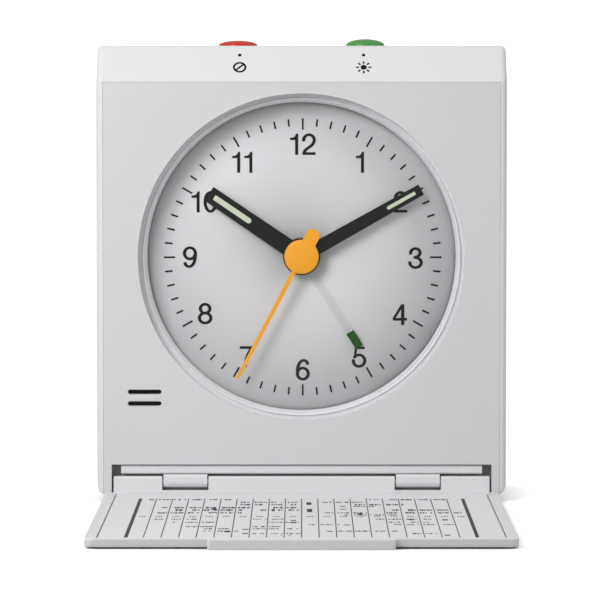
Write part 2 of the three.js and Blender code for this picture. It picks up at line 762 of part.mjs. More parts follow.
// A wheel on a tube that reaches forward to its hand, bored through.
function onTube(wheelGeometry, { radius, bore }, front, back) {
  const tube = drum(radius, [front, back]);
  return cut(join(...wheelGeometry, tube), drum(bore, [HAND.second.front, MOVEMENT.rear]));
}

const magnet = drum(STATOR.magnet, LAYER.magnet, ROTOR.x, ROTOR.z);
add("rotor", join(rotorPinion, magnet, arbor(ROTOR)), "steel", face);
add("intermediate_wheel", join(intermediateWheel, intermediatePinion, arbor(INTERMEDIATE)), "nylon", face);
const secondsArbor = drum(TUBE.second.radius, [SECOND_CAP.back, ARBOR.end], 0, 0, SMALL);
add("seconds_wheel", join(secondsWheel, secondsPinion, secondsArbor), "nylon", face);
add("third_wheel", join(thirdWheel, thirdPinion, arbor(THIRD)), "nylon", face);
const centre = onTube([centreWheel, cannonPinion], TUBE.minute, HAND.minute.front, LAYER.centre[1]);
add("centre_wheel", centre, "brass", face);
add("minute_wheel", join(minuteWheel, minutePinion, arbor(MINUTE, KNOB_ARBOR)), "nylon", face);
add("hour_wheel", onTube([hourWheel], TUBE.hour, HAND.hour.front, LAYER.hour[1]), "nylon", face);
add("alarm_wheel", onTube([alarmWheel], TUBE.alarm, HAND.alarm.front, LAYER.alarm[1]), "nylon", face);
add("alarm_pinion", join(alarmPinion, arbor(ALARM, KNOB_ARBOR)), "nylon", face);

// Setting knob with a scalloped rim, pushed onto the end of its arbor.
function settingKnob({ x, z }) {
  const points = [];
  for (let i = 0; i < 2 * KNOB.grips; i++) {
    const angle = (i * Math.PI) / KNOB.grips;
    const radius = i % 2 ? KNOB.radius - KNOB.grip : KNOB.radius;
    points.push([x + radius * Math.cos(angle), z + radius * Math.sin(angle)]);
  }
  const head = slab(outline(...points), [KNOB.front, KNOB.back]);
  const stemFront = MOVEMENT.rear + MOVEMENT.plate + 2 * GAP;
  const stem = drum(KNOB.stem, [stemFront, KNOB.front + GAP], x, z, SMALL);
  return cut(join(head, stem), drum(KNOB.bore, [MOVEMENT.rear, KNOB.boreEnd], x, z, SMALL));
}
add("time_knob", settingKnob(MINUTE), "white", face);
add("alarm_knob", settingKnob(ALARM), "white", face);

const arborPlaces = [ROTOR, INTERMEDIATE, THIRD];
const knobPlaces = [MINUTE, ALARM];
const pivotHoles = (depth) => [
  ...arborPlaces.map(({ x, z }) => drum(ARBOR.hole, depth, x, z, PIVOT)),
  ...knobPlaces.map(({ x, z }) => drum(KNOB.bore, depth, x, z, PIVOT)),
];

function movementBase() {
  const depth = [MOVEMENT.front, MOVEMENT.front + MOVEMENT.plate];
  const plate = box([MOVEMENT.left, MOVEMENT.right], depth, [MOVEMENT.low, MOVEMENT.high]);
  const bush = drum(TUBE.bush.radius, [HAND.alarm.back + GAP, MOVEMENT.front + GAP]);
  const through = [HAND.alarm.front, MOVEMENT.front + MOVEMENT.plate + OVER];
  return cut(join(plate, bush), drum(TUBE.bush.bore, through), ...pivotHoles(through));
}

function movementCover() {
  const wall = MOVEMENT.plate;
  const rim = MOVEMENT.front + MOVEMENT.plate + FIT;
  const back = MOVEMENT.rear + wall;
  const outer = box([MOVEMENT.left, MOVEMENT.right], [rim, back], [MOVEMENT.low, MOVEMENT.high]);
  const space = box(
    [MOVEMENT.left + wall, MOVEMENT.right - wall],
    [rim - OVER, MOVEMENT.rear],
    [MOVEMENT.low + wall, MOVEMENT.high - wall],
  );
  const through = [MOVEMENT.rear - OVER, back + OVER];
  return cut(outer, space, drum(ARBOR.hole, through, 0, 0, PIVOT), ...pivotHoles(through));
}
add("movement_base", movementBase(), "nylon", face);
add("movement_cover", movementCover(), "nylon", face);

const statorDepth = [STATOR.front, STATOR.back];
const statorPlate = box([STATOR.left, STATOR.right], statorDepth, [STATOR.low, STATOR.high]);
const rotorHole = drum(STATOR.hole, [STATOR.front - OVER, STATOR.back + OVER], ROTOR.x, ROTOR.z);
add("stator", cut(statorPlate, rotorHole), "steel", face);
const coreLength = [STATOR.low + COIL.lap, COIL.high + COIL.lap];
const coreWidth = [COIL.x - COIL.core, COIL.x + COIL.core];
add("coil_core", box(coreWidth, [COIL.coreFront, COIL.coreBack], coreLength), "steel", face);
const winding = postZ(COIL.radius, [COIL.low, COIL.high], COIL.x, COIL.y);
const windingSpace = box(
  [COIL.x - COIL.core - FIT, COIL.x + COIL.core + FIT],
  [COIL.coreFront - FIT, COIL.coreBack + FIT],
  [COIL.low - OVER, COIL.high + OVER],
);
add("coil", cut(winding, windingSpace), "copper", face);

// ---------------------------------------------------------------- buttons, board, sound, power

const buttonProfile = [
  [0, BUTTON.stem],
  [BUTTON.stemRadius, BUTTON.stem],
  [BUTTON.stemRadius, BUTTON.stem + BUTTON.shoulder],
  [BUTTON.flange, BUTTON.stem + BUTTON.shoulder],
  [BUTTON.flange, BUTTON.flangeTop],
  [BUTTON.radius, BUTTON.flangeTop],
  [BUTTON.radius, BUTTON.top - 1.5 * BUTTON.shoulder],
  [BUTTON.radius - BUTTON.shoulder, BUTTON.top - BUTTON.shoulder / 2],
  [0, BUTTON.top],
];
const buttonGeometry = (x) => turned(buttonProfile, ROUND).rotateX(Math.PI / 2).translate(x, BUTTON.y, 0);
add("off_button", buttonGeometry(-BUTTON.x), "red");
add("snooze_button", buttonGeometry(BUTTON.x), "green");
add(
  "circuit_board",
  box([-BOARD.halfWidth, BOARD.halfWidth], [BOARD.front, BOARD.back], [BOARD.bottom, BOARD.top]),
  "board",
);
["off_switch", "snooze_switch"].forEach((name, i) => {
  const x = buttonPlaces[i];
  const body = box(
    [x - SWITCH.half, x + SWITCH.half],
    [BUTTON.y - SWITCH.half, BUTTON.y + SWITCH.half],
    [BOARD.top + SHARP, SWITCH.top],
  );
  const plunger = postZ(SWITCH.plunger, [SWITCH.top - GAP, SWITCH.plungerTop], x, BUTTON.y);
  add(name, join(body, plunger), "black");
});
const soundDisc = drum(BUZZER.radius, [BUZZER.front, BUZZER.back], BUZZER.x, BUZZER.z);
const ventDepth = [BUZZER.front - OVER, BUZZER.front + OVER];
const soundHole = drum(BUZZER.vent, ventDepth, BUZZER.x, BUZZER.z, SMALL);
add("buzzer", cut(soundDisc, soundHole), "black");

add(
  "battery",
  join(
    barX(CELL.radius, [CELL.left, CELL.right], CELL.y, CELL.z, ROUND),
    barX(CELL.tipRadius, [CELL.right - GAP, CELL.tip], CELL.y, CELL.z, ROUND),
  ),
  "cell",
);
const contactSpan = [CELL.y, CELL.z].map((middle) => [middle - CONTACT.half, middle + CONTACT.half]);
const plusContact = box([CONTACT.plus, CONTACT.plus + CONTACT.plate], ...contactSpan);
add("contact_plus", plusContact, "steel");

// The minus contact: a flat plate and a conical coil of wire that presses on the cell.
function minusContact() {
  const steps = 30;
  const plateBack = CONTACT.minus + CONTACT.plate;
  const reach = CELL.left - CONTACT.wire - FIT - plateBack;
  const points = Array.from({ length: steps + 1 }, (_, i) => {
    const share = i / steps;
    const angle = share * CONTACT.turns * 2 * Math.PI;
    const radius = CONTACT.wide + share * (CONTACT.narrow - CONTACT.wide);
    const x = plateBack + share * reach;
    return new THREE.Vector3(x, CELL.y + radius * Math.cos(angle), CELL.z + radius * Math.sin(angle));
  });
  const wire = new THREE.Shape().absarc(0, 0, CONTACT.wire, 0, 2 * Math.PI);
  const coil = new THREE.ExtrudeGeometry(wire, {
    extrudePath: new THREE.CatmullRomCurve3(points),
    steps,
    curveSegments: SMALL / 2,
  });
  return join(box([CONTACT.minus, plateBack], ...contactSpan), coil);
}
add("contact_minus", minusContact(), "steel");

// ---------------------------------------------------------------- cover

const pinSpans = [-KNUCKLE.x, KNUCKLE.x].map((x) => [x - HINGE.halfPin, x + HINGE.halfPin]);

function hingeEnd() {
  const shape = new THREE.Shape();
  const back = HINGE.y + HINGE.barrel;
  shape.moveTo(COVER.hingeFront, COVER.under);
  shape.lineTo(back - HINGE.heel, COVER.under);
  shape.absarc(back - HINGE.heel, COVER.under + HINGE.heel, HINGE.heel, -Math.PI / 2, 0);
  shape.lineTo(back, HINGE.z);
  shape.absarc(HINGE.y, HINGE.z, HINGE.barrel, 0, Math.PI);
  shape.lineTo(HINGE.y - HINGE.barrel, COVER.inner);
  shape.lineTo(COVER.hingeFront, COVER.inner);
  return section(shape, [-COVER.hingeHalfWidth, COVER.hingeHalfWidth], ARC);
}

function coverPanel() {
  const leaf = layer(
    roundedRectangle([-COVER.halfWidth, COVER.halfWidth], [COVER.end, COVER.root], COVER.corner, 0.3),
    [COVER.under, COVER.inner],
    4,
  );
  const tab = layer(
    roundedRectangle([-TAB.halfWidth, TAB.halfWidth], [TAB.end, TAB.root], TAB.corner, SHARP),
    [0, COVER.inner],
    4,
  );
  const cardSeat = box(
    [-COVER.halfWidth + COVER.border, COVER.halfWidth - COVER.border],
    [CARD.front, CARD.back],
    [CARD.floor, COVER.inner + OVER],
  );
  const notches = [-1, 1].map((side) => {
    const centre = side * KNUCKLE.x;
    const width = [centre - KNUCKLE.notch / 2, centre + KNUCKLE.notch / 2];
    return box(width, [-OVER, RECESS.depth], [KNUCKLE.floor, RECESS.top]);
  });
  const bores = pinSpans.map(([x0, x1]) => barX(HINGE.bore, [x0 - FIT, x1 + FIT], HINGE.y, HINGE.z));
  return cut(join(leaf, tab, hingeEnd()), cardSeat, ...notches, ...bores);
}
add("cover_panel", coverPanel(), "white");
add(
  "time_zone_card",
  box(
    [-COVER.halfWidth + COVER.border + GAP, COVER.halfWidth - COVER.border - GAP],
    [CARD.front + GAP, CARD.back - GAP],
    [CARD.bottom, CARD.top],
  ),
  "card",
);
["hinge_pin_left", "hinge_pin_right"].forEach((name, i) => {
  add(name, barX(HINGE.pin, pinSpans[i], HINGE.y, HINGE.z), "steel");
});

// ---------------------------------------------------------------- frame

const footprint = { front: TAB.end, back: CASE.depth };
clock.position.y = -(footprint.front + footprint.back) / 2;

export default clock;
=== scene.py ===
"""Looks of the travel alarm clock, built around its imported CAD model.

Sizes below are in millimetres in the clock's own face frame: X to the right, Y back from the
silver panel, Z up from the table. place() turns them into metres in the row frame.
"""

import json
import math

import bmesh
import bpy
from mathutils import Matrix, Vector


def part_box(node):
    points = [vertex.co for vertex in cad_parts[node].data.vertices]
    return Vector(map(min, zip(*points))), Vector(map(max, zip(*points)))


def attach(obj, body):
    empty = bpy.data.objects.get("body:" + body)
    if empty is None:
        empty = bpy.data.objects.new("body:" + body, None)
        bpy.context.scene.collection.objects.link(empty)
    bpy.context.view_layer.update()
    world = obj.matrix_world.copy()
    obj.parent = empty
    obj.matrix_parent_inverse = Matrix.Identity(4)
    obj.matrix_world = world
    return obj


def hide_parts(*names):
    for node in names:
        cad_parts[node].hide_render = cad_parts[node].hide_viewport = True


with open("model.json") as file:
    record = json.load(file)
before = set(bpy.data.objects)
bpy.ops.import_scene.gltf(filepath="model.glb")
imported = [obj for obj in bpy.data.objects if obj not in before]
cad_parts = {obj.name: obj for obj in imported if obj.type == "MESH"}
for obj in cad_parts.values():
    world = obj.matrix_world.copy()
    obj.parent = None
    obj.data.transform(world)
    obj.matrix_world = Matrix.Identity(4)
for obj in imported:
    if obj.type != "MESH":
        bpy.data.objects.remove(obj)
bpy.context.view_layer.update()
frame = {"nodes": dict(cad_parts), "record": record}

MM = 0.001
FACE_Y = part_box("front_panel")[0][1]  # the panel's front, in metres, in the row frame


def mm_box(node):
    """Lowest and highest corner of a CAD node, in millimetres in the face frame."""
    low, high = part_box(node)
    shift = Vector((0, FACE_Y, 0))
    return (Vector(low) - shift) / MM, (Vector(high) - shift) / MM


# ------------------------------------------------------------------ sizes from the frame

CASE_LOW, CASE_HIGH = mm_box("case_shell")
PANEL_LOW, PANEL_HIGH = mm_box("front_panel")
CRYSTAL_LOW, CRYSTAL_HIGH = mm_box("crystal")
RING_LOW, RING_HIGH = mm_box("dial_ring")
DIAL_LOW, DIAL_HIGH = mm_box("dial")
COVER_LOW, COVER_HIGH = mm_box("cover_panel")
CARD_LOW, CARD_HIGH = mm_box("time_zone_card")
PIN_LOW, PIN_HIGH = mm_box("hinge_pin_right")
DOOR_LOW, DOOR_HIGH = mm_box("battery_door")

DIAL_Z = (CRYSTAL_LOW.z + CRYSTAL_HIGH.z) / 2
HINGE_Y = (PIN_LOW.y + PIN_HIGH.y) / 2
HINGE_Z = (PIN_LOW.z + PIN_HIGH.z) / 2
WINDOW_RADIUS = (CRYSTAL_HIGH.x - CRYSTAL_LOW.x) / 2
HALF_WIDTH = CASE_HIGH.x

SLANT_FOOT = PANEL_HIGH.z + 0.1
SLANT_DEPTH = 5.05
RECESS_HALF, RECESS_TOP, RECESS_BACK = 32.5, 6.45, 3.1
POCKET_INNER, POCKET_BACK = 30.9, 4.3
KNUCKLE_X, KNUCKLE_WIDTH, KNUCKLE_TOP, KNUCKLE_RADIUS = 19.9, 7.5, 4.95, 1.1
SLOT_LEFT, SLOT_RIGHT, SLOT_HEIGHT, SLOT_ROWS = -29.7, -23.95, 0.8, (16.9, 18.9)
RING_BORE = 26.45

# ------------------------------------------------------------------ mesh tools


def place(bm):
    """From millimetres in the face frame to metres in the row frame."""
    bm.transform(Matrix.Translation((0, FACE_Y, 0)) @ Matrix.Scale(MM, 4))


def to_object(bm, name, material=None, smooth=True):
    """A bmesh in face-frame millimetres as an object of the scene."""
    bmesh.ops.recalc_face_normals(bm, faces=bm.faces)
    place(bm)
    mesh = bpy.data.meshes.new(name)
    bm.to_mesh(mesh)
    bm.free()
    obj = bpy.data.objects.new(name, mesh)
    bpy.context.scene.collection.objects.link(obj)
    for polygon in mesh.polygons:
        polygon.use_smooth = smooth
    if material:
        mesh.materials.append(material)
    return obj


def arc(centre, radius, start, end, steps):
    """Points on an arc, angles in degrees counted from the first axis to the second."""
    turn = [math.radians(start + (end - start) * i / steps) for i in range(steps + 1)]
    return [(centre[0] + radius * math.cos(t), centre[1] + radius * math.sin(t)) for t in turn]


def rounded(a0, a1, b0, b1, low, high, steps=8):
    """A rectangle with radius low at its lower corners and radius high at its upper ones."""
    return (
        arc((a0 + low, b0 + low), low, 180, 270, steps)
        + arc((a1 - low, b0 + low), low, 270, 360, steps)
        + arc((a1 - high, b1 - high), high, 0, 90, steps)
        + arc((a0 + high, b1 - high), high, 90, 180, steps)
    )


PLANES = {
    "xz": lambda a, b, c: (a, c, b),
    "yz": lambda a, b, c: (c, a, b),
    "xy": lambda a, b, c: (a, b, c),
}


def prism_bm(outline, low, high, plane):
    """An outline in a plane, made thick along the third axis."""
    bm = bmesh.new()
    rings = [[bm.verts.new(PLANES[plane](a, b, c)) for a, b in outline] for c in (low, high)]
    count = len(outline)
    bm.faces.new(rings[0])
    bm.faces.new(rings[1])
    for i in range(count):
        j = (i + 1) % count
        bm.faces.new((rings[0][i], rings[0][j], rings[1][j], rings[1][i]))
    return bm


def prism(name, outline, low, high, plane="xz", material=None):
    return to_object(prism_bm(outline, low, high, plane), name, material)


def block(name, x, y, z, material=None):
    outline = [(x[0], z[0]), (x[1], z[0]), (x[1], z[1]), (x[0], z[1])]
    return prism(name, outline, y[0], y[1], "xz", material)


def lathe(name, profile, centre, steps=96, axis="y", material=None):
    """A closed profile of (radius, height) points turned about an axis through centre."""
    bm = bmesh.new()
    rings = []
    for radius, height in profile:
        if radius < 1e-6:
            rings.append([bm.verts.new((0, 0, height))])
            continue
        turn = [2 * math.pi * i / steps for i in range(steps)]
        rings.append([bm.verts.new((radius * math.cos(t), radius * math.sin(t), height)) for t in turn])
    for first, second in zip(rings, rings[1:] + rings[:1]):
        if len(first) == 1 and len(second) == 1:
            continue
        for i in range(steps):
            j = (i + 1) % steps
            corners = [first[i % len(first)], first[j % len(first)], second[j % len(second)],
                       second[i % len(second)]]
            unique = list(dict.fromkeys(corners))
            bm.faces.new(unique)
    if axis == "y":
        bm.transform(Matrix.Rotation(-math.pi / 2, 4, "X"))
    bm.transform(Matrix.Translation(centre))
    return to_object(bm, name, material)


def drum(name, radius, y0, y1, x, z, steps=48, material=None):
    """A round bar that runs front to back."""
    return prism(name, arc((x, z), radius, 0, 360 - 360 / steps, steps - 1), y0, y1, "xz", material)


def bar_x(name, radius, x0, x1, y, z, steps=32):
    return prism(name, arc((y, z), radius, 0, 360 - 360 / steps, steps - 1), x0, x1, "yz")


def post(name, radius, z0, z1, x, y, steps=64):
    return prism(name, arc((x, y), radius, 0, 360 - 360 / steps, steps - 1), z0, z1, "xy")


def bake(obj):
    """Applies an object's modifiers to its mesh."""
    graph = bpy.context.evaluated_depsgraph_get()
    mesh = bpy.data.meshes.new_from_object(obj.evaluated_get(graph))
    old = obj.data
    obj.modifiers.clear()
    obj.data = mesh
    bpy.data.meshes.remove(old)


def shape(obj, tools, operation="DIFFERENCE"):
    """Cuts the tools from obj, or joins them to it, and removes them."""
    for tool in tools:
        modifier = obj.modifiers.new("shape", "BOOLEAN")
        modifier.operation = operation
        modifier.solver = "EXACT"
        modifier.object = tool
    bpy.context.view_layer.update()
    bake(obj)
    for tool in tools:
        bpy.data.objects.remove(tool)
    return obj


def soften(obj, width, segments=3, angle=35):
    """Small rounds on every sharp edge, with flat faces kept flat."""
    bevel = obj.modifiers.new("edges", "BEVEL")
    bevel.width = width * MM
    bevel.segments = segments
    bevel.limit_method = "ANGLE"
    bevel.angle_limit = math.radians(angle)
    bevel.miter_outer = "MITER_ARC"
    normals = obj.modifiers.new("normals", "WEIGHTED_NORMAL")
    normals.keep_sharp = True
    return obj


def weigh_edges(bm, rules, width):
    """Bevel weights from (test, radius) rules, a test being given an edge's middle and direction."""
    layer = bm.edges.layers.float.new("bevel_weight_edge")
    for edge in bm.edges:
        first, second = edge.verts
        middle = (first.co + second.co) / 2
        along = (second.co - first.co).normalized()
        for test, radius in rules:
            if test(middle, along):
                edge[layer] = radius / width
                break


# ------------------------------------------------------------------ materials


def new_material(name):
    material = bpy.data.materials.new(name)
    material.use_nodes = True
    nodes = material.node_tree.nodes
    return material, nodes, material.node_tree.links, nodes["Principled BSDF"]


def noise(nodes, links, coordinates, scale, detail=2.0):
    texture = nodes.new("ShaderNodeTexNoise")
    texture.inputs["Scale"].default_value = scale
    texture.inputs["Detail"].default_value = detail
    links.new(coordinates.outputs["Object"], texture.inputs["Vector"])
    return texture


def spread_range(nodes, links, source, start, end, low, high):
    """A value mapped from start..end to low..high."""
    node = nodes.new("ShaderNodeMapRange")
    node.inputs["From Min"].default_value = start
    node.inputs["From Max"].default_value = end
    node.inputs["To Min"].default_value = low
    node.inputs["To Max"].default_value = high
    links.new(source, node.inputs["Value"])
    return node.outputs["Result"]


def spread(nodes, links, source, low, high):
    """The middle of a noise, which keeps to about 0.3-0.7, mapped to a range."""
    return spread_range(nodes, links, source, 0.3, 0.7, low, high)


def surface(name, colour, roughness, grain, bump, vary=0.02, metallic=0.0, coat=0.0, blotch=60,
            specular=0.5):
    """A moulded, painted or plated finish.

    colour is linear; grain is the size of the surface texture in millimetres, bump its height in
    micrometres; vary is how far the colour drifts over the piece.
    """
    material, nodes, links, shader = new_material(name)
    coordinates = nodes.new("ShaderNodeTexCoord")
    fine = noise(nodes, links, coordinates, 1 / (grain * MM), 3)
    broad = noise(nodes, links, coordinates, blotch, 2)
    mix = nodes.new("ShaderNodeMix")
    mix.data_type = "RGBA"
    mix.inputs["A"].default_value = (*[c * (1 - vary) for c in colour], 1)
    mix.inputs["B"].default_value = (*[min(1, c * (1 + vary)) for c in colour], 1)
    blend = nodes.new("ShaderNodeMath")
    blend.operation = "MULTIPLY_ADD"
    blend.inputs[1].default_value = 0.5
    links.new(fine.outputs["Fac"], blend.inputs[0])
    half = nodes.new("ShaderNodeMath")
    half.operation = "MULTIPLY"
    half.inputs[1].default_value = 0.5
    links.new(broad.outputs["Fac"], half.inputs[0])
    links.new(half.outputs["Value"], blend.inputs[2])
    links.new(blend.outputs["Value"], mix.inputs["Factor"])
    links.new(mix.outputs["Result"], shader.inputs["Base Color"])
    links.new(spread(nodes, links, fine.outputs["Fac"], roughness * 0.92, roughness * 1.08),
              shader.inputs["Roughness"])
    relief = nodes.new("ShaderNodeBump")
    relief.inputs["Strength"].default_value = 1.0
    relief.inputs["Distance"].default_value = bump * 1e-6
    links.new(fine.outputs["Fac"], relief.inputs["Height"])
    links.new(relief.outputs["Normal"], shader.inputs["Normal"])
    shader.inputs["Metallic"].default_value = metallic
    shader.inputs["Coat Weight"].default_value = coat
    shader.inputs["Specular IOR Level"].default_value = specular
    return material


def clear_sheet(name, tint, roughness=0.02, strength=1.0, haze=0.0):
    """Clear plastic: light goes straight through, and the surface mirrors by its angle."""
    material, nodes, links, shader = new_material(name)
    nodes.remove(shader)
    output = nodes["Material Output"]
    through = nodes.new("ShaderNodeBsdfTransparent")
    through.inputs["Color"].default_value = (*tint, 1)
    gloss = nodes.new("ShaderNodeBsdfGlossy")
    gloss.inputs["Roughness"].default_value = roughness
    angle = nodes.new("ShaderNodeLayerWeight")
    steep = nodes.new("ShaderNodeMath")
    steep.operation = "POWER"
    steep.inputs[1].default_value = 5.0
    links.new(angle.outputs["Facing"], steep.inputs[0])
    scale = nodes.new("ShaderNodeMath")
    scale.operation = "MULTIPLY_ADD"
    scale.inputs[1].default_value = 0.96 * strength
    scale.inputs[2].default_value = 0.04 * strength + haze
    links.new(steep.outputs["Value"], scale.inputs[0])
    mix = nodes.new("ShaderNodeMixShader")
    links.new(scale.outputs["Value"], mix.inputs["Fac"])
    links.new(through.outputs["BSDF"], mix.inputs[1])
    links.new(gloss.outputs["BSDF"], mix.inputs[2])
    links.new(mix.outputs["Shader"], output.inputs["Surface"])
    return material


def linear(red, green, blue):
    """An sRGB colour of 0-255 as linear values."""
    return tuple(
        c / 255 / 12.92 if c <= 10 else ((c / 255 + 0.055) / 1.055) ** 2.4 for c in (red, green, blue)
    )


WHITE = surface("case_white", linear(212, 212, 214), 0.4, 0.12, 1.2, 0.008)
SILVER = surface("panel_silver", linear(212, 212, 214), 0.42, 0.09, 3.0, 0.035, metallic=0.35)
RING_WHITE = surface("ring_white", linear(232, 232, 234), 0.35, 0.2, 0.4, 0.01)
DIAL_FINISH = surface("dial_silver_white", linear(208, 208, 210), 0.5, 0.1, 0.8, 0.01)
PRINT = surface("dial_print", linear(20, 20, 22), 0.7, 0.1, 0.5, 0.1, specular=0.12)
BLACK = surface("hand_black", linear(16, 16, 17), 0.45, 0.12, 0.8, 0.08, specular=0.2)
LUME = surface("luminous_paint", linear(202, 210, 186), 0.75, 0.1, 4.0, 0.05)
YELLOW = surface("second_yellow", linear(242, 164, 34), 0.45, 0.2, 0.8, 0.02, specular=0.25)
DARK_GREEN = surface("alarm_green", linear(24, 74, 14), 0.5, 0.15, 0.8, 0.05, specular=0.15)
RED = surface("button_red", linear(190, 34, 14), 0.35, 0.2, 0.8, 0.02, specular=0.4)
GREEN = surface("button_green", linear(62, 138, 58), 0.35, 0.2, 0.8, 0.02, specular=0.4)
CARD = surface("card_paper", linear(215, 215, 217), 0.5, 0.3, 1.0, 0.008, specular=0.3)
INK = surface("card_ink", linear(66, 66, 68), 0.7, 0.1, 0.5, 0.1, specular=0.15)
LABEL = surface("case_print", linear(18, 18, 20), 0.7, 0.1, 0.5, 0.1, specular=0.12)
RUBBER = surface("foot_rubber", linear(44, 44, 45), 0.8, 0.15, 6.0, 0.1)
STEEL = surface("plated_steel", linear(190, 190, 193), 0.28, 0.1, 1.0, 0.03, metallic=0.95)
BLACK_PLASTIC = surface("black_plastic", linear(30, 30, 31), 0.5, 0.12, 2.0, 0.06)
BRASS = surface("wheel_brass", linear(200, 165, 90), 0.35, 0.1, 1.0, 0.04, metallic=0.95)
COPPER = surface("coil_copper", linear(184, 106, 60), 0.4, 0.1, 12.0, 0.08, metallic=0.8)
NYLON = surface("natural_nylon", linear(238, 236, 228), 0.5, 0.15, 1.0, 0.02)
BOARD = surface("solder_resist", linear(40, 110, 58), 0.45, 0.3, 3.0, 0.1)
CELL = surface("cell_wrap", linear(72, 76, 84), 0.35, 0.4, 1.0, 0.05, metallic=0.4)
CRYSTAL = clear_sheet("crystal_clear", (0.992, 0.994, 0.994), strength=0.5)
CLEAR_ARM = clear_sheet("clear_arm", (1.0, 1.0, 1.0), 0.08, 0.6, 0.02)

# ------------------------------------------------------------------ case


def case_outer():
    """The outside of the case, with its edges rounded, each by its own radius."""
    width = 1.8
    outline = [
        (0, CASE_LOW.z),
        (CASE_HIGH.y, CASE_LOW.z),
        (CASE_HIGH.y, CASE_HIGH.z),
        (SLANT_DEPTH, CASE_HIGH.z),
        (0, SLANT_FOOT),
    ]
    bm = prism_bm(outline, -HALF_WIDTH, HALF_WIDTH, "yz")
    front = 1e-3
    side = HALF_WIDTH - 1e-3
    rules = [
        (lambda m, d: abs(m.x) > side and m.y < front, 1.25),
        (lambda m, d: abs(m.x) > side and m.z < CASE_LOW.z + front, 1.8),
        (lambda m, d: abs(m.x) > side and m.y > CASE_HIGH.y - front, 0.6),
        (lambda m, d: abs(m.x) > side, 0.9),
        (lambda m, d: m.y > CASE_HIGH.y - front, 0.6),
        (lambda m, d: m.z > CASE_HIGH.z - front, 0.45),
        (lambda m, d: m.z < CASE_LOW.z + front, 0.4),
    ]
    weigh_edges(bm, rules, width)
    obj = to_object(bm, "case_body", WHITE)
    bevel = obj.modifiers.new("round", "BEVEL")
    bevel.limit_method = "WEIGHT"
    bevel.width = width * MM
    bevel.segments = 8
    bpy.context.view_layer.update()
    bake(obj)
    return obj


def knuckle_tool(side):
    centre = side * KNUCKLE_X
    corner, top = 0.45, KNUCKLE_TOP - 0.23
    front = HINGE_Y - KNUCKLE_RADIUS
    back = RECESS_BACK + 0.5
    outline = (
        [(back, top)]
        + arc((front + corner, top - corner), corner, 90, 180, 8)
        + arc((HINGE_Y, HINGE_Z), KNUCKLE_RADIUS, 180, 270, 16)
        + [(back, HINGE_Z - KNUCKLE_RADIUS)]
    )
    low, high = centre - KNUCKLE_WIDTH / 2, centre + KNUCKLE_WIDTH / 2
    return prism("knuckle", outline, low, high, "yz")


def case_shell():
    wall = 1.7
    inner = HALF_WIDTH - wall
    rise = CASE_HIGH.z - SLANT_FOOT
    length = math.hypot(rise, SLANT_DEPTH)
    ceiling = CASE_HIGH.z - wall
    slant_z = lambda y: SLANT_FOOT + (y * rise - wall * length) / SLANT_DEPTH
    slant_y = (ceiling - SLANT_FOOT + wall * length / SLANT_DEPTH) * SLANT_DEPTH / rise
    floor = CASE_LOW.z + wall
    cavity = prism(
        "cavity",
        [(2, 8.15), (5.2, 8.15), (5.2, floor), (28, floor), (28, ceiling), (slant_y, ceiling),
         (2, slant_z(2))],
        -inner,
        inner,
        "yz",
    )
    seat_half = PANEL_HIGH.x + 0.1
    tools = [
        cavity,
        block("seat", (-seat_half, seat_half), (-1, PANEL_HIGH.y + 0.1), (0, SLANT_FOOT)),
        drum("window", 28.3, -2, 3, 0, DIAL_Z, 160),
        block("recess", (-RECESS_HALF, RECESS_HALF), (-2, RECESS_BACK), (-1, RECESS_TOP)),
        block("pocket", (-RECESS_HALF, -POCKET_INNER), (-2, POCKET_BACK), (-1, RECESS_TOP)),
        block("pocket", (POCKET_INNER, RECESS_HALF), (-2, POCKET_BACK), (-1, RECESS_TOP)),
    ]
    for button in ("off_button", "snooze_button"):
        low, high = mm_box(button)
        tools.append(post("hole", 3.55, CASE_HIGH.z - 4, CASE_HIGH.z + 1, (low.x + high.x) / 2,
                          (low.y + high.y) / 2))
    for i in range(1, 5):
        low, high = mm_box("foot_%d" % i)
        tools.append(post("socket", 3.3, 0, CASE_LOW.z + 0.4, (low.x + high.x) / 2, (low.y + high.y) / 2))
    tools += sound_slots(-2, 3)
    shell = shape(case_outer(), tools)
    shape(shell, [knuckle_tool(-1), knuckle_tool(1)], "UNION")
    shell.name = "case_body"
    soften(shell, 0.14, 2)
    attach(shell, "case")
    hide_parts("case_shell")


def sound_slots(y0, y1):
    radius = SLOT_HEIGHT / 2
    tools = []
    for z in SLOT_ROWS:
        ends = arc((SLOT_RIGHT - radius, z), radius, -90, 90, 10) + arc((SLOT_LEFT + radius, z), radius, 90,
                                                                       270, 10)
        tools.append(prism("slot", ends, y0, y1, "xz"))
    return tools


def front_panel():
    half, top = PANEL_HIGH.x + 0.07, PANEL_HIGH.z + 0.07
    outline = [
        (-half, PANEL_LOW.z),
        (-RECESS_HALF, PANEL_LOW.z),
        (-RECESS_HALF, RECESS_TOP),
        (RECESS_HALF, RECESS_TOP),
        (RECESS_HALF, PANEL_LOW.z),
        (half, PANEL_LOW.z),
        (half, top),
        (-half, top),
    ]
    plate = prism("silver_panel", outline, 0, PANEL_HIGH.y, "xz", SILVER)
    window = drum("window", WINDOW_RADIUS + 0.13, -1, 2, 0, DIAL_Z, 256)
    shape(plate, [window] + sound_slots(-1, 2))
    soften(plate, 0.07, 2)
    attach(plate, "case")
    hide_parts("front_panel")


def feet():
    for i in range(1, 5):
        low, high = mm_box("foot_%d" % i)
        radius = (high.x - low.x) / 2
        profile = [(0, low.z), (radius - 0.5, low.z)]
        profile += arc((radius - 0.35, low.z + 0.35), 0.35, -60, 0, 4)
        profile += [(radius, high.z), (0, high.z)]
        centre = ((low.x + high.x) / 2, (low.y + high.y) / 2, 0)
        foot = lathe("rubber_foot_%d" % i, profile, centre, 48, "z", RUBBER)
        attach(foot, "case")
        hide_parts("foot_%d" % i)


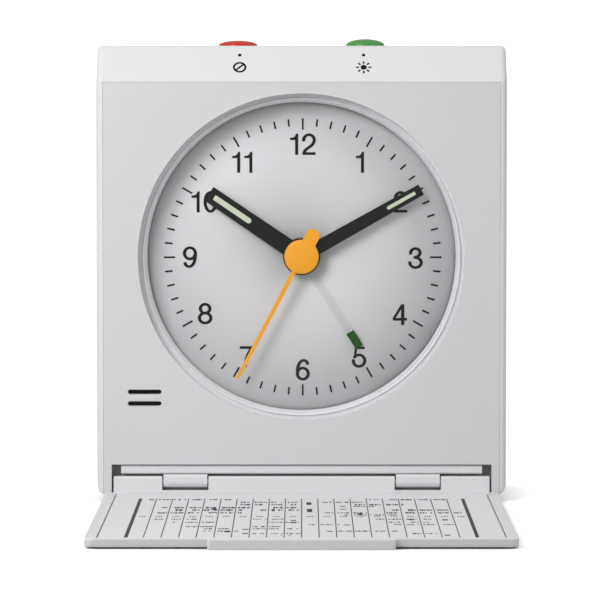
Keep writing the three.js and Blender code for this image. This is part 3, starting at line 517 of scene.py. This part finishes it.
def hinge_recess():
    """The rounded rail under the ceiling of the recess."""
    low, high, face, nose = 4.8, RECESS_TOP - 0.12, 0.45, 0.4
    section = [(RECESS_BACK + 0.2, low)] + arc((face + nose, low + nose), nose, 270, 180, 8)
    section += arc((face + nose, high - nose), nose, 180, 90, 8) + [(RECESS_BACK + 0.2, high)]
    rail = prism("hinge_rail", section, -POCKET_INNER, POCKET_INNER, "yz", WHITE)
    soften(rail, 0.04, 2)
    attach(rail, "case")


case_shell()
front_panel()
feet()
hinge_recess()

# ------------------------------------------------------------------ window and dial


def crystal():
    radius = WINDOW_RADIUS
    front, back = CRYSTAL_LOW.y, CRYSTAL_HIGH.y
    chamfer = 0.5
    profile = [(0, front), (radius - chamfer - 0.06, front)]
    profile += [(radius - chamfer + 0.02, front + 0.03), (radius - 0.05, front + chamfer - 0.02)]
    profile += [(radius, front + chamfer + 0.06), (radius, back), (0, back)]
    pane = lathe("crystal_pane", profile, (0, 0, DIAL_Z), 192, "y", CRYSTAL)
    soften(pane, 0.03, 2, 50)
    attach(pane, "case")
    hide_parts("crystal")


def dial_ring():
    front, back = RING_LOW.y, RING_HIGH.y
    outer, flange = 28.1, (RING_HIGH.x - RING_LOW.x) / 2
    profile = [(RING_BORE, back), (RING_BORE, front + 1.7), (RING_BORE + 0.5, front + 0.08)]
    profile += [(RING_BORE + 0.6, front), (outer - 0.95, front), (outer - 0.85, front + 0.3)]
    profile += [(outer, front + 0.3), (outer, 2.15), (flange, 2.15), (flange, 3), (outer, 3), (outer, back)]
    ring = lathe("dial_reflector", profile, (0, 0, DIAL_Z), 256, "y", RING_WHITE)
    start, end = 90 - 150.4, 90 - 115.8
    opening = arc((0, DIAL_Z), 27.5, start, end, 24) + arc((0, DIAL_Z), 25, end, start, 24)
    shape(ring, [prism("opening", opening, front + 0.8, back - 0.2, "xz")])
    soften(ring, 0.05, 2, 40)
    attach(ring, "case")
    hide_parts("dial_ring")


def dial():
    radius, hole = (DIAL_HIGH.x - DIAL_LOW.x) / 2, 3.2
    profile = [(hole, DIAL_LOW.y + 0.05), (hole + 0.05, DIAL_LOW.y), (radius, DIAL_LOW.y)]
    profile += [(radius, DIAL_HIGH.y), (hole, DIAL_HIGH.y)]
    plate = lathe("dial_plate", profile, (0, 0, DIAL_Z), 192, "y", DIAL_FINISH)
    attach(plate, "case")
    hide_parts("dial")


PRINT_HEIGHT = 0.04
PRINT_CENTRE = Matrix.Translation((0.2, 0, DIAL_Z - 0.17))  # the print sits a little off the axis


def dial_marks():
    """Sixty minute marks, the hour ones longer."""
    bm = bmesh.new()
    half = 0.15
    for minute in range(60):
        inner, outer = (21.9, 23.85) if minute % 5 == 0 else (22.5, 23.8)
        part = prism_bm(
            [(-half, inner), (half, inner), (half, outer), (-half, outer)],
            DIAL_LOW.y - PRINT_HEIGHT + 0.005,
            DIAL_LOW.y + 0.005,
            "xz",
        )
        part.transform(Matrix.Rotation(math.radians(6 * minute), 4, "Y"))
        copy_into(bm, part, PRINT_CENTRE)
        part.free()
    marks = to_object(bm, "dial_marks", PRINT, smooth=False)
    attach(marks, "case")


# Characters are drawn as strokes, each a path with a width that depends on its direction.


def bend(x, z, rx, rz, start, end, steps=36):
    """Part of an ellipse, angles in degrees counted anticlockwise from the right."""
    turn = [math.radians(start + (end - start) * i / steps) for i in range(steps + 1)]
    return [(x + rx * math.cos(t), z + rz * math.sin(t)) for t in turn]


def flow(*knots, steps=8):
    """A smooth curve through the knots."""
    ends = [knots[0], *knots, knots[-1]]
    path = []
    for p0, p1, p2, p3 in zip(ends, ends[1:], ends[2:], ends[3:]):
        for i in range(steps):
            t = i / steps
            path.append(tuple(
                0.5 * (2 * p1[k] + (p2[k] - p0[k]) * t + (2 * p0[k] - 5 * p1[k] + 4 * p2[k] - p3[k]) * t**2
                       + (3 * p1[k] - p0[k] - 3 * p2[k] + p3[k]) * t**3)
                for k in (0, 1)
            ))
    return path + [knots[-1]]


def ribbon(path, upright, flat):
    """The outline of a stroke: upright is its width where it runs up, flat where it runs across."""
    left, right = [], []
    for i, (x, z) in enumerate(path):
        before, after = path[max(i - 1, 0)], path[min(i + 1, len(path) - 1)]
        along = Vector((after[0] - before[0], after[1] - before[1])).normalized()
        half = math.hypot(along.y * upright, along.x * flat) / 2
        left.append((x - along.y * half, z + along.x * half))
        right.append((x + along.y * half, z - along.x * half))
    return left + right[::-1]


def ring(x, z, rx, rz):
    return [bend(x, z, rx, rz, -10, 190), bend(x, z, rx, rz, 170, 370)]


# Figures for a cap height of 1: width, filled outlines, and strokes.
SIX = ring(0.335, 0.315, 0.258, 0.267) + [
    flow((0.0775, 0.33), (0.082, 0.5), (0.115, 0.68), (0.19, 0.84), (0.32, 0.942), (0.46, 0.93), (0.55, 0.84),
         (0.575, 0.745))
]
FIGURES = {
    "0": (0.65, [], ring(0.325, 0.5, 0.2525, 0.4525)),
    "1": (0.39, [[(0.39, 0), (0.39, 1), (0.285, 1), (0.262, 0.92), (0.21, 0.855), (0.13, 0.815), (0, 0.805),
                  (0, 0.7), (0.245, 0.7), (0.245, 0)]], []),
    "2": (0.64, [], [bend(0.325, 0.7, 0.2525, 0.2525, 194, -25)[:-1]
                     + flow((0.554, 0.593), (0.48, 0.475), (0.35, 0.37), (0.21, 0.27), (0.12, 0.17),
                            (0.08, 0.05)),
                     [(0.01, 0.0575), (0.64, 0.0575)]]),
    "3": (0.68, [], [bend(0.325, 0.755, 0.2255, 0.1975, 205, -50)
                     + flow((0.43, 0.575), (0.36, 0.54), (0.24, 0.535)),
                     flow((0.3, 0.535), (0.4, 0.515)) + bend(0.335, 0.28, 0.2725, 0.2325, 62, -194)]),
    "4": (0.68, [[(0, 0.2225), (0, 0.345), (0.405, 1), (0.5, 1), (0.5, 0.9), (0.43, 0.81), (0.13, 0.335),
                  (0.1, 0.2225)]], [[(0.475, 0), (0.475, 1)], [(0.05, 0.28), (0.68, 0.28)]]),
    "5": (0.68, [[(0.135, 1), (0.6, 1), (0.6, 0.885), (0.24, 0.885), (0.19, 0.47), (0.075, 0.43)]],
          [bend(0.335, 0.325, 0.2725, 0.2775, 152, -193)]),
    "6": (0.67, [], SIX),
    "7": (0.64, [], [[(0.0, 0.9425), (0.64, 0.9425)],
                     flow((0.575, 0.92), (0.46, 0.74), (0.36, 0.52), (0.295, 0.28), (0.265, 0))]),
    "8": (0.69, [], ring(0.345, 0.735, 0.2275, 0.2095) + ring(0.345, 0.285, 0.272, 0.2375)),
    "9": (0.67, [], [[(0.67 - x, 1 - z) for x, z in stroke] for stroke in SIX]),
}

drawn = {}  # each figure's width and mesh, made once


def character(key, upright, flat):
    """One character as a thin closed mesh in millimetres, its front on the plane Y = 0."""
    if key not in drawn:
        width, solids, strokes = FIGURES[key]
        outlines = solids + [ribbon(path, upright, flat) for path in strokes]
        parts = [prism("stroke", o, 0, PRINT_HEIGHT, "xz") for o in outlines]
        whole = shape(parts[0], parts[1:], "UNION") if len(parts) > 1 else parts[0]
        bm = bmesh.new()
        bm.from_mesh(whole.data)
        bm.transform(Matrix.Scale(1 / MM, 4) @ Matrix.Translation((0, -FACE_Y, 0)))
        drawn[key] = (width, bm)
        bpy.data.objects.remove(whole)
    return drawn[key]


def copy_into(bm, part, matrix):
    """Adds a transformed copy of one bmesh to another."""
    verts = {v: bm.verts.new(matrix @ v.co) for v in part.verts}
    for face in part.faces:
        corners = [verts[v] for v in face.verts]
        if not bm.faces.get(corners):
            bm.faces.new(corners)


def figures(bm, number, centre, height):
    """A number centred on (x, z), printed on the dial."""
    spacing = 0.19
    glyphs = [character(key, 0.155, 0.127) for key in number]
    total = sum(width for width, _ in glyphs) + spacing * (len(glyphs) - 1)
    x = -total / 2
    for width, glyph in glyphs:
        place_at = Matrix.Translation((centre[0], DIAL_LOW.y - PRINT_HEIGHT + 0.005, centre[1] - height / 2))
        size = Matrix.Diagonal((height, 1, height, 1))
        copy_into(bm, glyph, place_at @ size @ Matrix.Translation((x, 0, 0)))
        x += width + spacing


def numerals():
    """The numbers stand on a circle, most of them moved from it by a few tenths of a millimetre."""
    height, radius = 3.6, 19.4
    nudge = {1: (0.1, -0.5), 2: (0, -0.2), 3: (0, -0.15), 4: (-0.1, -0.2), 5: (0, -0.4), 7: (0, -0.35),
             10: (-0.1, -0.2), 11: (-0.7, -0.5)}
    bm = bmesh.new()
    for hour in range(1, 13):
        turn = math.radians(30 * hour)
        side, rise = nudge.get(hour, (0, 0))
        centre = (PRINT_CENTRE.translation.x + radius * math.sin(turn) + side,
                  PRINT_CENTRE.translation.z + radius * math.cos(turn) + rise)
        figures(bm, str(hour), centre, height)
    piece = to_object(bm, "dial_numerals", PRINT, smooth=False)
    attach(piece, "case")


crystal()
dial_ring()
dial()
dial_marks()
numerals()

# ------------------------------------------------------------------ hands


def turn_about_dial(bm, angle):
    bm.transform(Matrix.Rotation(math.radians(angle), 4, "Y"))
    bm.transform(Matrix.Translation((0, 0, DIAL_Z)))


def hand_angle(node):
    """Clock angle of a hand's tip, from the middle of its piece."""
    low, high = mm_box(node)
    return math.degrees(math.atan2((low.x + high.x) / 2, (low.z + high.z) / 2 - DIAL_Z))


def flat_hand(name, outline, node, body, material, front, back, angle, edge=0.05):
    bm = prism_bm(outline, front, back, "xz")
    turn_about_dial(bm, angle)
    hand = to_object(bm, name, material)
    soften(hand, edge, 2)
    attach(hand, body)
    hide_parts(node)
    return hand


def blade(end, root, tip, hub, steps=80):
    """Outline of a straight hand with a round hub, pointing up."""
    meet = math.degrees(math.asin(root / 2 / hub))
    return [(tip / 2, end)] + arc((0, 0), hub, 90 - meet, -270 + meet, steps) + [(-tip / 2, end)]


def hands():
    hour_low, hour_high = mm_box("hour_hand")
    minute_low, minute_high = mm_box("minute_hand")
    alarm_low, alarm_high = mm_box("alarm_hand")
    hour_angle = hand_angle("hour_hand_lume")
    minute_angle = hand_angle("minute_hand_lume")
    alarm_angle = hand_angle("alarm_hand_tip")
    flat_hand("hour_blade", blade(19.2, 2.95, 2.8, 3), "hour_hand", "hours", BLACK,
              hour_low.y, hour_high.y, hour_angle)
    flat_hand("minute_blade", blade(23.5, 2.3, 1.95, 3.17), "minute_hand", "minutes", BLACK,
              minute_low.y, minute_high.y, minute_angle)
    for name, node, body, start, end, half, angle in (
        ("hour_lume", "hour_hand_lume", "hours", 10.5, 18.1, 0.46, hour_angle),
        ("minute_lume", "minute_hand_lume", "minutes", 16.8, 22.3, 0.3, minute_angle),
    ):
        low, high = mm_box(node)
        strip = rounded(-half, half, start, end, half * 0.98, 0.06, 8)
        flat_hand(name, strip, node, body, LUME, low.y, high.y + 0.03, angle, 0.03)
    flat_hand("alarm_arm", blade(15.3, 1.4, 1.4, 3), "alarm_hand", "alarm", CLEAR_ARM,
              alarm_low.y, alarm_high.y, alarm_angle, 0.08)
    tip = [(-0.71, 15.45), (0.71, 15.45), (0.71, 18.5), (-0.71, 18.5)]
    flat_hand("alarm_tip", tip, "alarm_hand_tip", "alarm", DARK_GREEN, alarm_low.y,
              alarm_high.y, alarm_angle)


def second_hand():
    """The thin hand and its drop-shaped tail, with a chamfered cap on top of the hub."""
    low, high = mm_box("second_hand")
    front = high.y - 0.25
    cap, tail, tail_half = 2.95, 5.2, 1.2
    bm = prism_bm(blade(23.6, 0.77, 0.62, cap - 0.3), front, high.y, "xz")
    turn_about_dial(bm, SECOND_ANGLE)
    hand = to_object(bm, "second_needle", YELLOW)
    bm = prism_bm(rounded(-tail_half, tail_half, -tail, -2, tail_half * 0.98, 0.1, 12), front + 0.01,
                  high.y - 0.01, "xz")
    turn_about_dial(bm, SECOND_ANGLE)
    profile = [(0, low.y), (cap - 0.3, low.y), (cap - 0.1, low.y + 0.06), (cap, low.y + 0.17)]
    profile += [(cap, high.y - 0.02), (0, high.y - 0.02)]
    disc = lathe("cap", profile, (0, 0, DIAL_Z), 96)
    shape(hand, [to_object(bm, "tail"), disc], "UNION")
    soften(hand, 0.09, 2)
    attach(hand, "seconds")
    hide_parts("second_hand")


def second_angle():
    """The tip is the corner of the needle's box that is furthest from the dial's middle."""
    low, high = mm_box("second_hand")
    x = low.x if abs(low.x) > abs(high.x) else high.x
    z = low.z if DIAL_Z - low.z > high.z - DIAL_Z else high.z
    return math.degrees(math.atan2(x, z - DIAL_Z))


SECOND_ANGLE = second_angle()
hands()
second_hand()

# ------------------------------------------------------------------ buttons


def buttons():
    for node, name, material, slot in (
        ("off_button", "off_cap", RED, "button_red"),
        ("snooze_button", "snooze_cap", GREEN, "button_green"),
    ):
        low, high = mm_box(node)
        flange, radius, top, rim = (high.x - low.x) / 2, 3.35, high.z, CASE_HIGH.z + 0.12
        shoulder = CASE_HIGH.z - 1.9
        if node == "off_button":
            top -= 0.25
        profile = [(0, low.z), (1.2, low.z), (1.2, low.z + 0.4), (flange, low.z + 0.4), (flange, shoulder)]
        profile += [(radius, shoulder)]
        turns = [math.radians(9 * i) for i in range(10)]
        profile += [(radius * math.cos(a), rim + (top - rim) * math.sin(a)) for a in turns] + [(0, top)]
        cap = lathe(name, profile, ((low.x + high.x) / 2, (low.y + high.y) / 2, 0), 96, "z", material)
        soften(cap, 0.05, 2, 50)
        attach(cap, node)
        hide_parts(node)


buttons()

# ------------------------------------------------------------------ pieces at the back


def knobs():
    """Setting knobs with a scalloped rim and a groove in the face, each on its stem."""
    for node, body in (("time_knob", "time_setting"), ("alarm_knob", "alarm_setting")):
        low, high = mm_box(node)
        x, z, front = (low.x + high.x) / 2, (low.z + high.z) / 2, high.y - 4.1
        rim = []
        for step in range(216):
            turn = 2 * math.pi * step / 216
            radius = 4.22 + 0.13 * math.cos(18 * turn)
            rim.append((x + radius * math.cos(turn), z + radius * math.sin(turn)))
        grip = prism(node + "_grip", rim, front, high.y, "xz", WHITE)
        groove = [(2.1, high.y - 0.45), (3.3, high.y - 0.45), (3.3, high.y + 1), (2.1, high.y + 1)]
        shape(grip, [lathe("groove", groove, (x, 0, z), 96)])
        stem = drum(node + "_stem", 1.2, low.y, front + 0.1, x, z, 48)
        stem.data.materials.append(WHITE)
        for part, edge in ((grip, 0.16), (stem, 0.05)):
            soften(part, edge, 3)
            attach(part, body)
            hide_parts(node)


def screws():
    """Pan-head screws with a cross, no two turned alike."""
    for i in range(1, 5):
        node = "case_screw_%d" % i
        low, high = mm_box(node)
        x, z, seat = (low.x + high.x) / 2, (low.z + high.z) / 2, high.y - 0.7
        profile = [(0, low.y), (0.6, low.y + 0.02), (0.84, low.y + 0.5), (0.84, seat), (1.88, seat)]
        profile += [(1.88, seat + 0.3), (1.72, seat + 0.5), (1.3, seat + 0.63), (0.6, high.y), (0, high.y)]
        screw = lathe(node + "_head", profile, (x, 0, z), 64, "y", STEEL)
        cross = []
        for turn in (23 * i, 23 * i + 90):
            a, b = math.cos(math.radians(turn)), math.sin(math.radians(turn))
            corners = [(-1.15, -0.2), (1.15, -0.2), (1.15, 0.2), (-1.15, 0.2)]
            outline = [(x + u * a - v * b, z + u * b + v * a) for u, v in corners]
            cross.append(prism("cross", outline, high.y - 0.42, high.y + 1, "xz"))
        shape(screw, cross)
        soften(screw, 0.05, 2)
        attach(screw, "case")
        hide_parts(node)


def battery_door():
    """A slab hinged at its foot, with a hollow for the thumb at the top."""
    pivot_y, pivot_z, edge, inner = 26.2, 9.3, 0.72, 25.6
    top, outer, pin_reach = DOOR_HIGH.z, DOOR_HIGH.y, 0.7
    section = [(outer, top), (inner, top), (pivot_y - edge + 0.05, pivot_z)]
    section += arc((pivot_y, pivot_z), edge, 180, 360, 24)
    slab = prism("door_slab", section, DOOR_LOW.x + pin_reach, DOOR_HIGH.x - pin_reach, "yz", WHITE)
    shape(slab, [bar_x("thumb", 2.2, -5, 5, outer + 1.78, top - 3.2, 64)])
    pins = bar_x("door_pins", 0.4, DOOR_LOW.x, DOOR_HIGH.x, pivot_y, pivot_z)
    pins.data.materials.append(WHITE)
    for part, bevel in ((slab, 0.15), (pins, 0.05)):
        soften(part, bevel, 2)
        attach(part, "battery_door")
        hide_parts("battery_door")


knobs()
screws()
battery_door()

# ------------------------------------------------------------------ symbols on the slanted strip


def slope_point(x, along, lift=0.0):
    """Matrix that carries the XZ drawing plane onto the slanted strip."""
    rise = CASE_HIGH.z - SLANT_FOOT
    tilt = math.atan2(SLANT_DEPTH, rise)
    return (
        Matrix.Translation((0, 0, SLANT_FOOT))
        @ Matrix.Rotation(-tilt, 4, "X")
        @ Matrix.Translation((x, 0.005 - lift, along))
    )


def turned(outline, degrees):
    """An outline turned about the origin."""
    c, d = math.cos(math.radians(degrees)), math.sin(math.radians(degrees))
    return [(u * c - v * d, u * d + v * c) for u, v in outline]


def flat_bar(start, end, width):
    """A straight stroke along U."""
    return [(start, -width / 2), (end, -width / 2), (end, width / 2), (start, width / 2)]


def labels():
    """A crossed ring for alarm off and a lamp for the light, each with a dot between it and its button."""
    left, right, symbol_height, dot_height = -10.57, 10.59, 3.2, 5.9
    ring_outer, ring_inner, cross_reach, cross_width = 1.15, 0.82, 0.9, 0.32
    lamp_radius, ray_start, ray_end, ray_width, rays = 0.52, 0.8, 1.3, 0.28, 8
    dot_radius = 0.3
    bm = bmesh.new()

    def add(outline, x, along):
        part = prism_bm(outline, 0, PRINT_HEIGHT, "xz")
        copy_into(bm, part, slope_point(x, along, PRINT_HEIGHT))
        part.free()

    add(arc((0, 0), ring_outer, 0, 360, 48) + arc((0, 0), ring_inner, 360, 0, 48), left, symbol_height)
    add(turned(flat_bar(-cross_reach, cross_reach, cross_width), 45), left, symbol_height)
    add(arc((0, 0), lamp_radius, 0, 350, 35), right, symbol_height)
    for i in range(rays):
        add(turned(flat_bar(ray_start, ray_end, ray_width), 360 / rays * i), right, symbol_height)
    for x in (left, right):
        add(arc((0, 0), dot_radius, 0, 345, 23), x, dot_height)
    piece = to_object(bm, "button_symbols", LABEL, smooth=False)
    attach(piece, "case")


labels()

# ------------------------------------------------------------------ cover


def cover():
    """A shallow tray with raised borders, a pull lip at the free end and a rolled hinge end."""
    half, under, inner = COVER_HIGH.x, 0.3, 1.7
    end, root = -66.85, -0.3
    border, rise, step, draft = 1.85, 0.06, 0.02, 0.8
    leaf = prism("cover_leaf", rounded(-half, half, end, root, 1.5, 0.3, 10), under, inner, "xy", WHITE)
    barrel, heel, bead, top = 1.15, 0.6, 0.42, 4.38
    back, front = HINGE_Y + barrel, HINGE_Y - barrel
    section = (
        [(-1.5, under + step), (back - heel, under + step)]
        + arc((back - heel, under + heel), heel - step, -90, 0, 8)
        + arc((back - 0.6, top - 0.6), 0.6, 0, 90, 8)
        + arc((front + bead, top - bead), bead, 90, 180, 8)
        + [(front, inner - step), (-1.5, inner - step)]
    )
    spine = prism("cover_spine", section, -32.2, 32.2, "yz", WHITE)
    tab = prism("cover_tab", rounded(-14.5, 14.5, COVER_LOW.y, -64.6, 0.5, 0.05, 6), COVER_LOW.z,
                inner - 2 * step, "xy", WHITE)
    rails = []
    for side in (-1, 1):
        outer, inside = side * (half - 0.04), side * (half - border)
        x0, x1 = min(outer, inside), max(outer, inside)
        rails.append(prism("cover_rail", rounded(x0, x1, end + 0.9, root - 0.3, 0.3, 0.1, 4), inner - 0.6,
                           inner + rise, "xy", WHITE))
    seat = block("seat", (-half + border, half - border), (CARD_LOW.y - 0.2, CARD_HIGH.y + 0.2), (1.35, 3))
    notches = [
        block("notch", (s * KNUCKLE_X - 3.95, s * KNUCKLE_X + 3.95), (-1, HINGE_Y + 3), (1.95, HINGE_Z + 3))
        for s in (-1, 1)
    ]
    bores = [bar_x("bore", 0.6, *sorted((s * 12.9, s * 27.1)), HINGE_Y, HINGE_Z) for s in (-1, 1)]
    for part in (leaf, tab):
        for vertex in part.data.vertices:
            if vertex.co.z < (under + 0.1) * MM and vertex.co.y < FACE_Y + (end + 2) * MM:
                vertex.co.y += draft * MM
    shape(leaf, [seat])
    shape(spine, notches + bores)
    for part, edge in ((leaf, 0.12), (spine, 0.1), (tab, 0.12), *((rail, 0.05) for rail in rails)):
        soften(part, edge, 2)
        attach(part, "cover")
        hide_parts("cover_panel")


def card():
    low, high = CARD_LOW, CARD_HIGH
    sheet = prism("zone_card", rounded(low.x, high.x, low.y, high.y, 0.3, 0.3, 4), low.z, high.z, "xy", CARD)
    soften(sheet, 0.04, 2)
    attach(sheet, "cover")
    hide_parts("time_zone_card")


def card_print():
    """Ruled columns, and rows of short dashes where a real card has its small print."""
    bm = bmesh.new()
    columns, pitch, bar = 20, 2.712, 0.57
    near, far = -64.5, -9.8
    z0, z1 = CARD_HIGH.z - 0.005, CARD_HIGH.z + 0.02

    def patch(x, width, y, depth):
        outline = [(x - width / 2, y - depth / 2), (x + width / 2, y - depth / 2),
                   (x + width / 2, y + depth / 2), (x - width / 2, y + depth / 2)]
        part = prism_bm(outline, z0, z1, "xy")
        copy_into(bm, part, Matrix.Identity(4))
        part.free()

    for i in range(columns + 1):
        edge = i in (0, columns)
        patch((i - columns / 2) * pitch, bar if edge else 0.15, (near + far) / 2, far - near)
    seed = 7
    for y, depth, spans in CARD_ROWS:
        for start, end in spans:
            x = start
            while x < end:
                seed = (seed * 1103515245 + 12345) % 2**31
                step = 0.24 + 0.3 * (seed >> 8) / 2**23
                off_line = abs((x / pitch) - round(x / pitch)) * pitch
                if off_line > 0.12 + step / 2 and seed % 7:
                    patch(x, step * 0.72, y, depth * (0.7 + 0.3 * ((seed >> 5) % 3)))
                x += step
    for x, y, width, depth in CARD_KEYS:
        patch(x, width, y, depth)
    middle_row = -36.2
    for i in range(columns):
        x = (i - columns / 2 + 0.5) * pitch
        for shift in (-0.42, 0.02, 0.4):
            patch(x + shift, 0.26, middle_row, 0.9)
    piece = to_object(bm, "card_print", INK, smooth=False)
    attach(piece, "cover")


# distance from the panel, depth and spans of each row of small print
CARD_ROWS = (
    (-11.3, 1.5, ((-25.4, -10.4), (11.5, 13.7), (14.9, 24.9))),
    (-15.4, 1.3, ((-10, -0.6), (4.8, 10.2))),
    (-19, 1.6, ((-10.1, -0.4), (9, 17))),
    (-21.5, 1.0, ((8.4, 12.4),)),
    (-23.4, 2.0, ((-20.8, -8.6), (-4.5, -0.5))),
    (-27, 2.2, ((-20.5, -9), (-6.6, -0.4), (13.8, 25))),
    (-31, 1.4, ((-23.3, -9.2), (5, 10.6), (14, 26))),
    (-34, 1.0, ((7, 15.5),)),
    (-40, 1.0, ((-23.6, -16.9), (-8.1, -2), (12, 21))),
    (-44.3, 0.9, ((-20.4, -14.4), (-5, 0.4), (14, 20.5))),
    (-47.6, 0.9, ((1.3, 6.8), (14.8, 24.5))),
    (-50.3, 1.1, ((-18.2, -14.4), (-8, -3.4))),
    (-53.2, 1.1, ((-15.2, -10.6), (-7.5, 0.2))),
    (-56.4, 1.1, ((-15.2, -9.8), (5.4, 15.5))),
    (-59.6, 1.0, ((-7.5, 0.4), (17, 22))),
    (-62.2, 0.9, ((-3.4, -1.6),)),
)
# the bolder keys of the small print: place, width and depth
CARD_KEYS = (
    (1.2, -17.3, 0.85, 3.6),
    (1.3, -27.6, 0.85, 4.6),
    (-22.6, -23.2, 0.95, 1.0),
    (-22.7, -31.2, 0.95, 1.0),
    (-14.4, -25.5, 0.8, 2.6),
    (-14.4, -30.2, 0.95, 1.0),
    (-17.3, -40, 0.95, 0.9),
    (-14.4, -44.3, 0.95, 0.9),
    (-14.4, -50.3, 0.95, 0.9),
    (-11.6, -56.8, 0.9, 1.9),
    (-8.8, -54, 0.95, 1.0),
    (-8.8, -59.4, 0.95, 1.0),
    (-1.3, -41.7, 0.9, 1.0),
    (-1.3, -44.8, 0.95, 1.2),
    (3.9, -15.4, 0.95, 0.9),
    (6.8, -21.4, 0.85, 0.9),
    (6.8, -25.7, 0.95, 0.9),
    (4.2, -31, 0.9, 0.9),
    (9.5, -33, 0.8, 2.4),
    (7.2, -48, 0.95, 0.9),
    (4.4, -56.6, 0.95, 0.9),
    (17.6, -40.4, 0.9, 1.6),
    (23, -41, 0.9, 1.4),
    (22.6, -61.6, 0.9, 1.2),
)

cover()
card()
card_print()

# ------------------------------------------------------------------ stage, light and camera


def area_light(name, location, target, size, power, colour=(1, 1, 1)):
    data = bpy.data.lights.new(name, "AREA")
    data.shape = "RECTANGLE"
    data.size, data.size_y = size
    data.energy = power
    data.color = colour
    light = bpy.data.objects.new(name, data)
    light.location = location
    direction = Vector(target) - Vector(location)
    light.rotation_euler = direction.to_track_quat("-Z", "Y").to_euler()
    bpy.context.scene.collection.objects.link(light)


FLOOR_BOUNCE = 0.6  # what the floor returns to the pieces on it
FLOOR_GLOW = 0.55  # light that only the camera sees; it fades close to the clock, which paints a contact shadow there


def stage():
    """A plain pale floor, a little brighter to the eye than to the pieces that stand on it, with painted
    shade near the clock where its glow fades.
    """
    material, nodes, links, shader = new_material("floor_white")
    shader.inputs["Base Color"].default_value = (0.8, 0.8, 0.8, 1)
    shader.inputs["Emission Color"].default_value = (1, 1, 1, 1)
    # The glow is dimmed by ambient occlusion: a painted contact shadow around and under the clock.
    near = nodes.new("ShaderNodeAmbientOcclusion")
    near.inputs["Distance"].default_value = 0.006
    glow_with_painted_shade = spread_range(nodes, links, near.outputs["AO"], 0, 1, 0.0, FLOOR_GLOW)
    links.new(glow_with_painted_shade, shader.inputs["Emission Strength"])
    shader.inputs["Roughness"].default_value = 1.0
    shader.inputs["Specular IOR Level"].default_value = 0.0
    dim = nodes.new("ShaderNodeBsdfDiffuse")
    dim.inputs["Color"].default_value = (FLOOR_BOUNCE, FLOOR_BOUNCE, FLOOR_BOUNCE, 1)
    seen = nodes.new("ShaderNodeLightPath")
    mix = nodes.new("ShaderNodeMixShader")
    links.new(seen.outputs["Is Camera Ray"], mix.inputs["Fac"])
    links.new(dim.outputs["BSDF"], mix.inputs[1])
    links.new(shader.outputs["BSDF"], mix.inputs[2])
    links.new(mix.outputs["Shader"], nodes["Material Output"].inputs["Surface"])
    bm = bmesh.new()
    bmesh.ops.create_circle(bm, cap_ends=True, segments=64, radius=60)
    mesh = bpy.data.meshes.new("floor")
    bm.to_mesh(mesh)
    bm.free()
    floor = bpy.data.objects.new("floor", mesh)
    mesh.materials.append(material)
    bpy.context.scene.collection.objects.link(floor)


def studio():
    """Soft light from all round, a large box up to the left in front, and a small one to the right."""
    middle = (0, FACE_Y, 0.043)
    area_light("key", (-0.2, FACE_Y - 0.28, 0.235), middle, (0.16, 0.16), 0.98)
    area_light("fill", (0.32, FACE_Y - 0.2, 0.34), middle, (0.1, 0.1), 0.24)
    world = bpy.data.worlds.new("studio")
    world.use_nodes = True
    nodes, links = world.node_tree.nodes, world.node_tree.links
    background = nodes["Background"]
    direction = nodes.new("ShaderNodeTexCoord")
    split = nodes.new("ShaderNodeSeparateXYZ")
    links.new(direction.outputs["Generated"], split.inputs["Vector"])
    height = nodes.new("ShaderNodeMapRange")
    height.inputs["From Min"].default_value = 0.0
    height.inputs["From Max"].default_value = 1.0
    height.inputs["To Min"].default_value = 0.45
    height.inputs["To Max"].default_value = 0.6
    links.new(split.outputs["Z"], height.inputs["Value"])
    side = nodes.new("ShaderNodeMath")
    side.operation = "MULTIPLY"
    links.new(split.outputs["X"], side.inputs[0])
    links.new(split.outputs["X"], side.inputs[1])
    sum_of = nodes.new("ShaderNodeMath")
    sum_of.operation = "MULTIPLY_ADD"
    sum_of.inputs[1].default_value = 0.25
    links.new(side.outputs["Value"], sum_of.inputs[0])
    links.new(height.outputs["Result"], sum_of.inputs[2])
    seen = nodes.new("ShaderNodeLightPath")
    white = nodes.new("ShaderNodeMix")
    white.data_type = "FLOAT"
    white.inputs["B"].default_value = 1.3
    links.new(seen.outputs["Is Camera Ray"], white.inputs["Factor"])
    links.new(sum_of.outputs["Value"], white.inputs["A"])
    links.new(white.outputs["Result"], background.inputs["Strength"])
    background.inputs["Color"].default_value = (1, 1, 1, 1)
    scene = bpy.context.scene
    scene.world = world
    scene.view_settings.view_transform = "Standard"


def camera():
    """Seen straight on, from a little above, with a long lens."""
    data = bpy.data.cameras.new("camera")
    data.lens = 226.8
    data.sensor_width = 36
    data.shift_x = -0.0027
    eye = bpy.data.objects.new("camera", data)
    eye.location = (0, FACE_Y - 0.644, 0.0711)
    eye.rotation_euler = (math.radians(90 - 3.24), 0, 0)
    bpy.context.scene.collection.objects.link(eye)
    bpy.context.scene.camera = eye


stage()
studio()
camera()

CAD_FINISH = {
    "steel": STEEL,
    "nylon": NYLON,
    "brass": BRASS,
    "copper": COPPER,
    "board": BOARD,
    "cell": CELL,
    "black_plastic": BLACK_PLASTIC,
    "light_clear": CLEAR_ARM,
    "white_plastic": WHITE,
    "rubber": RUBBER,
}
for entry in frame["record"]["subparts"]:
    finish = CAD_FINISH.get(entry["material_slot"])
    if finish:
        node_mesh = frame["nodes"][entry["node"]].data
        node_mesh.materials.clear()
        node_mesh.materials.append(finish)
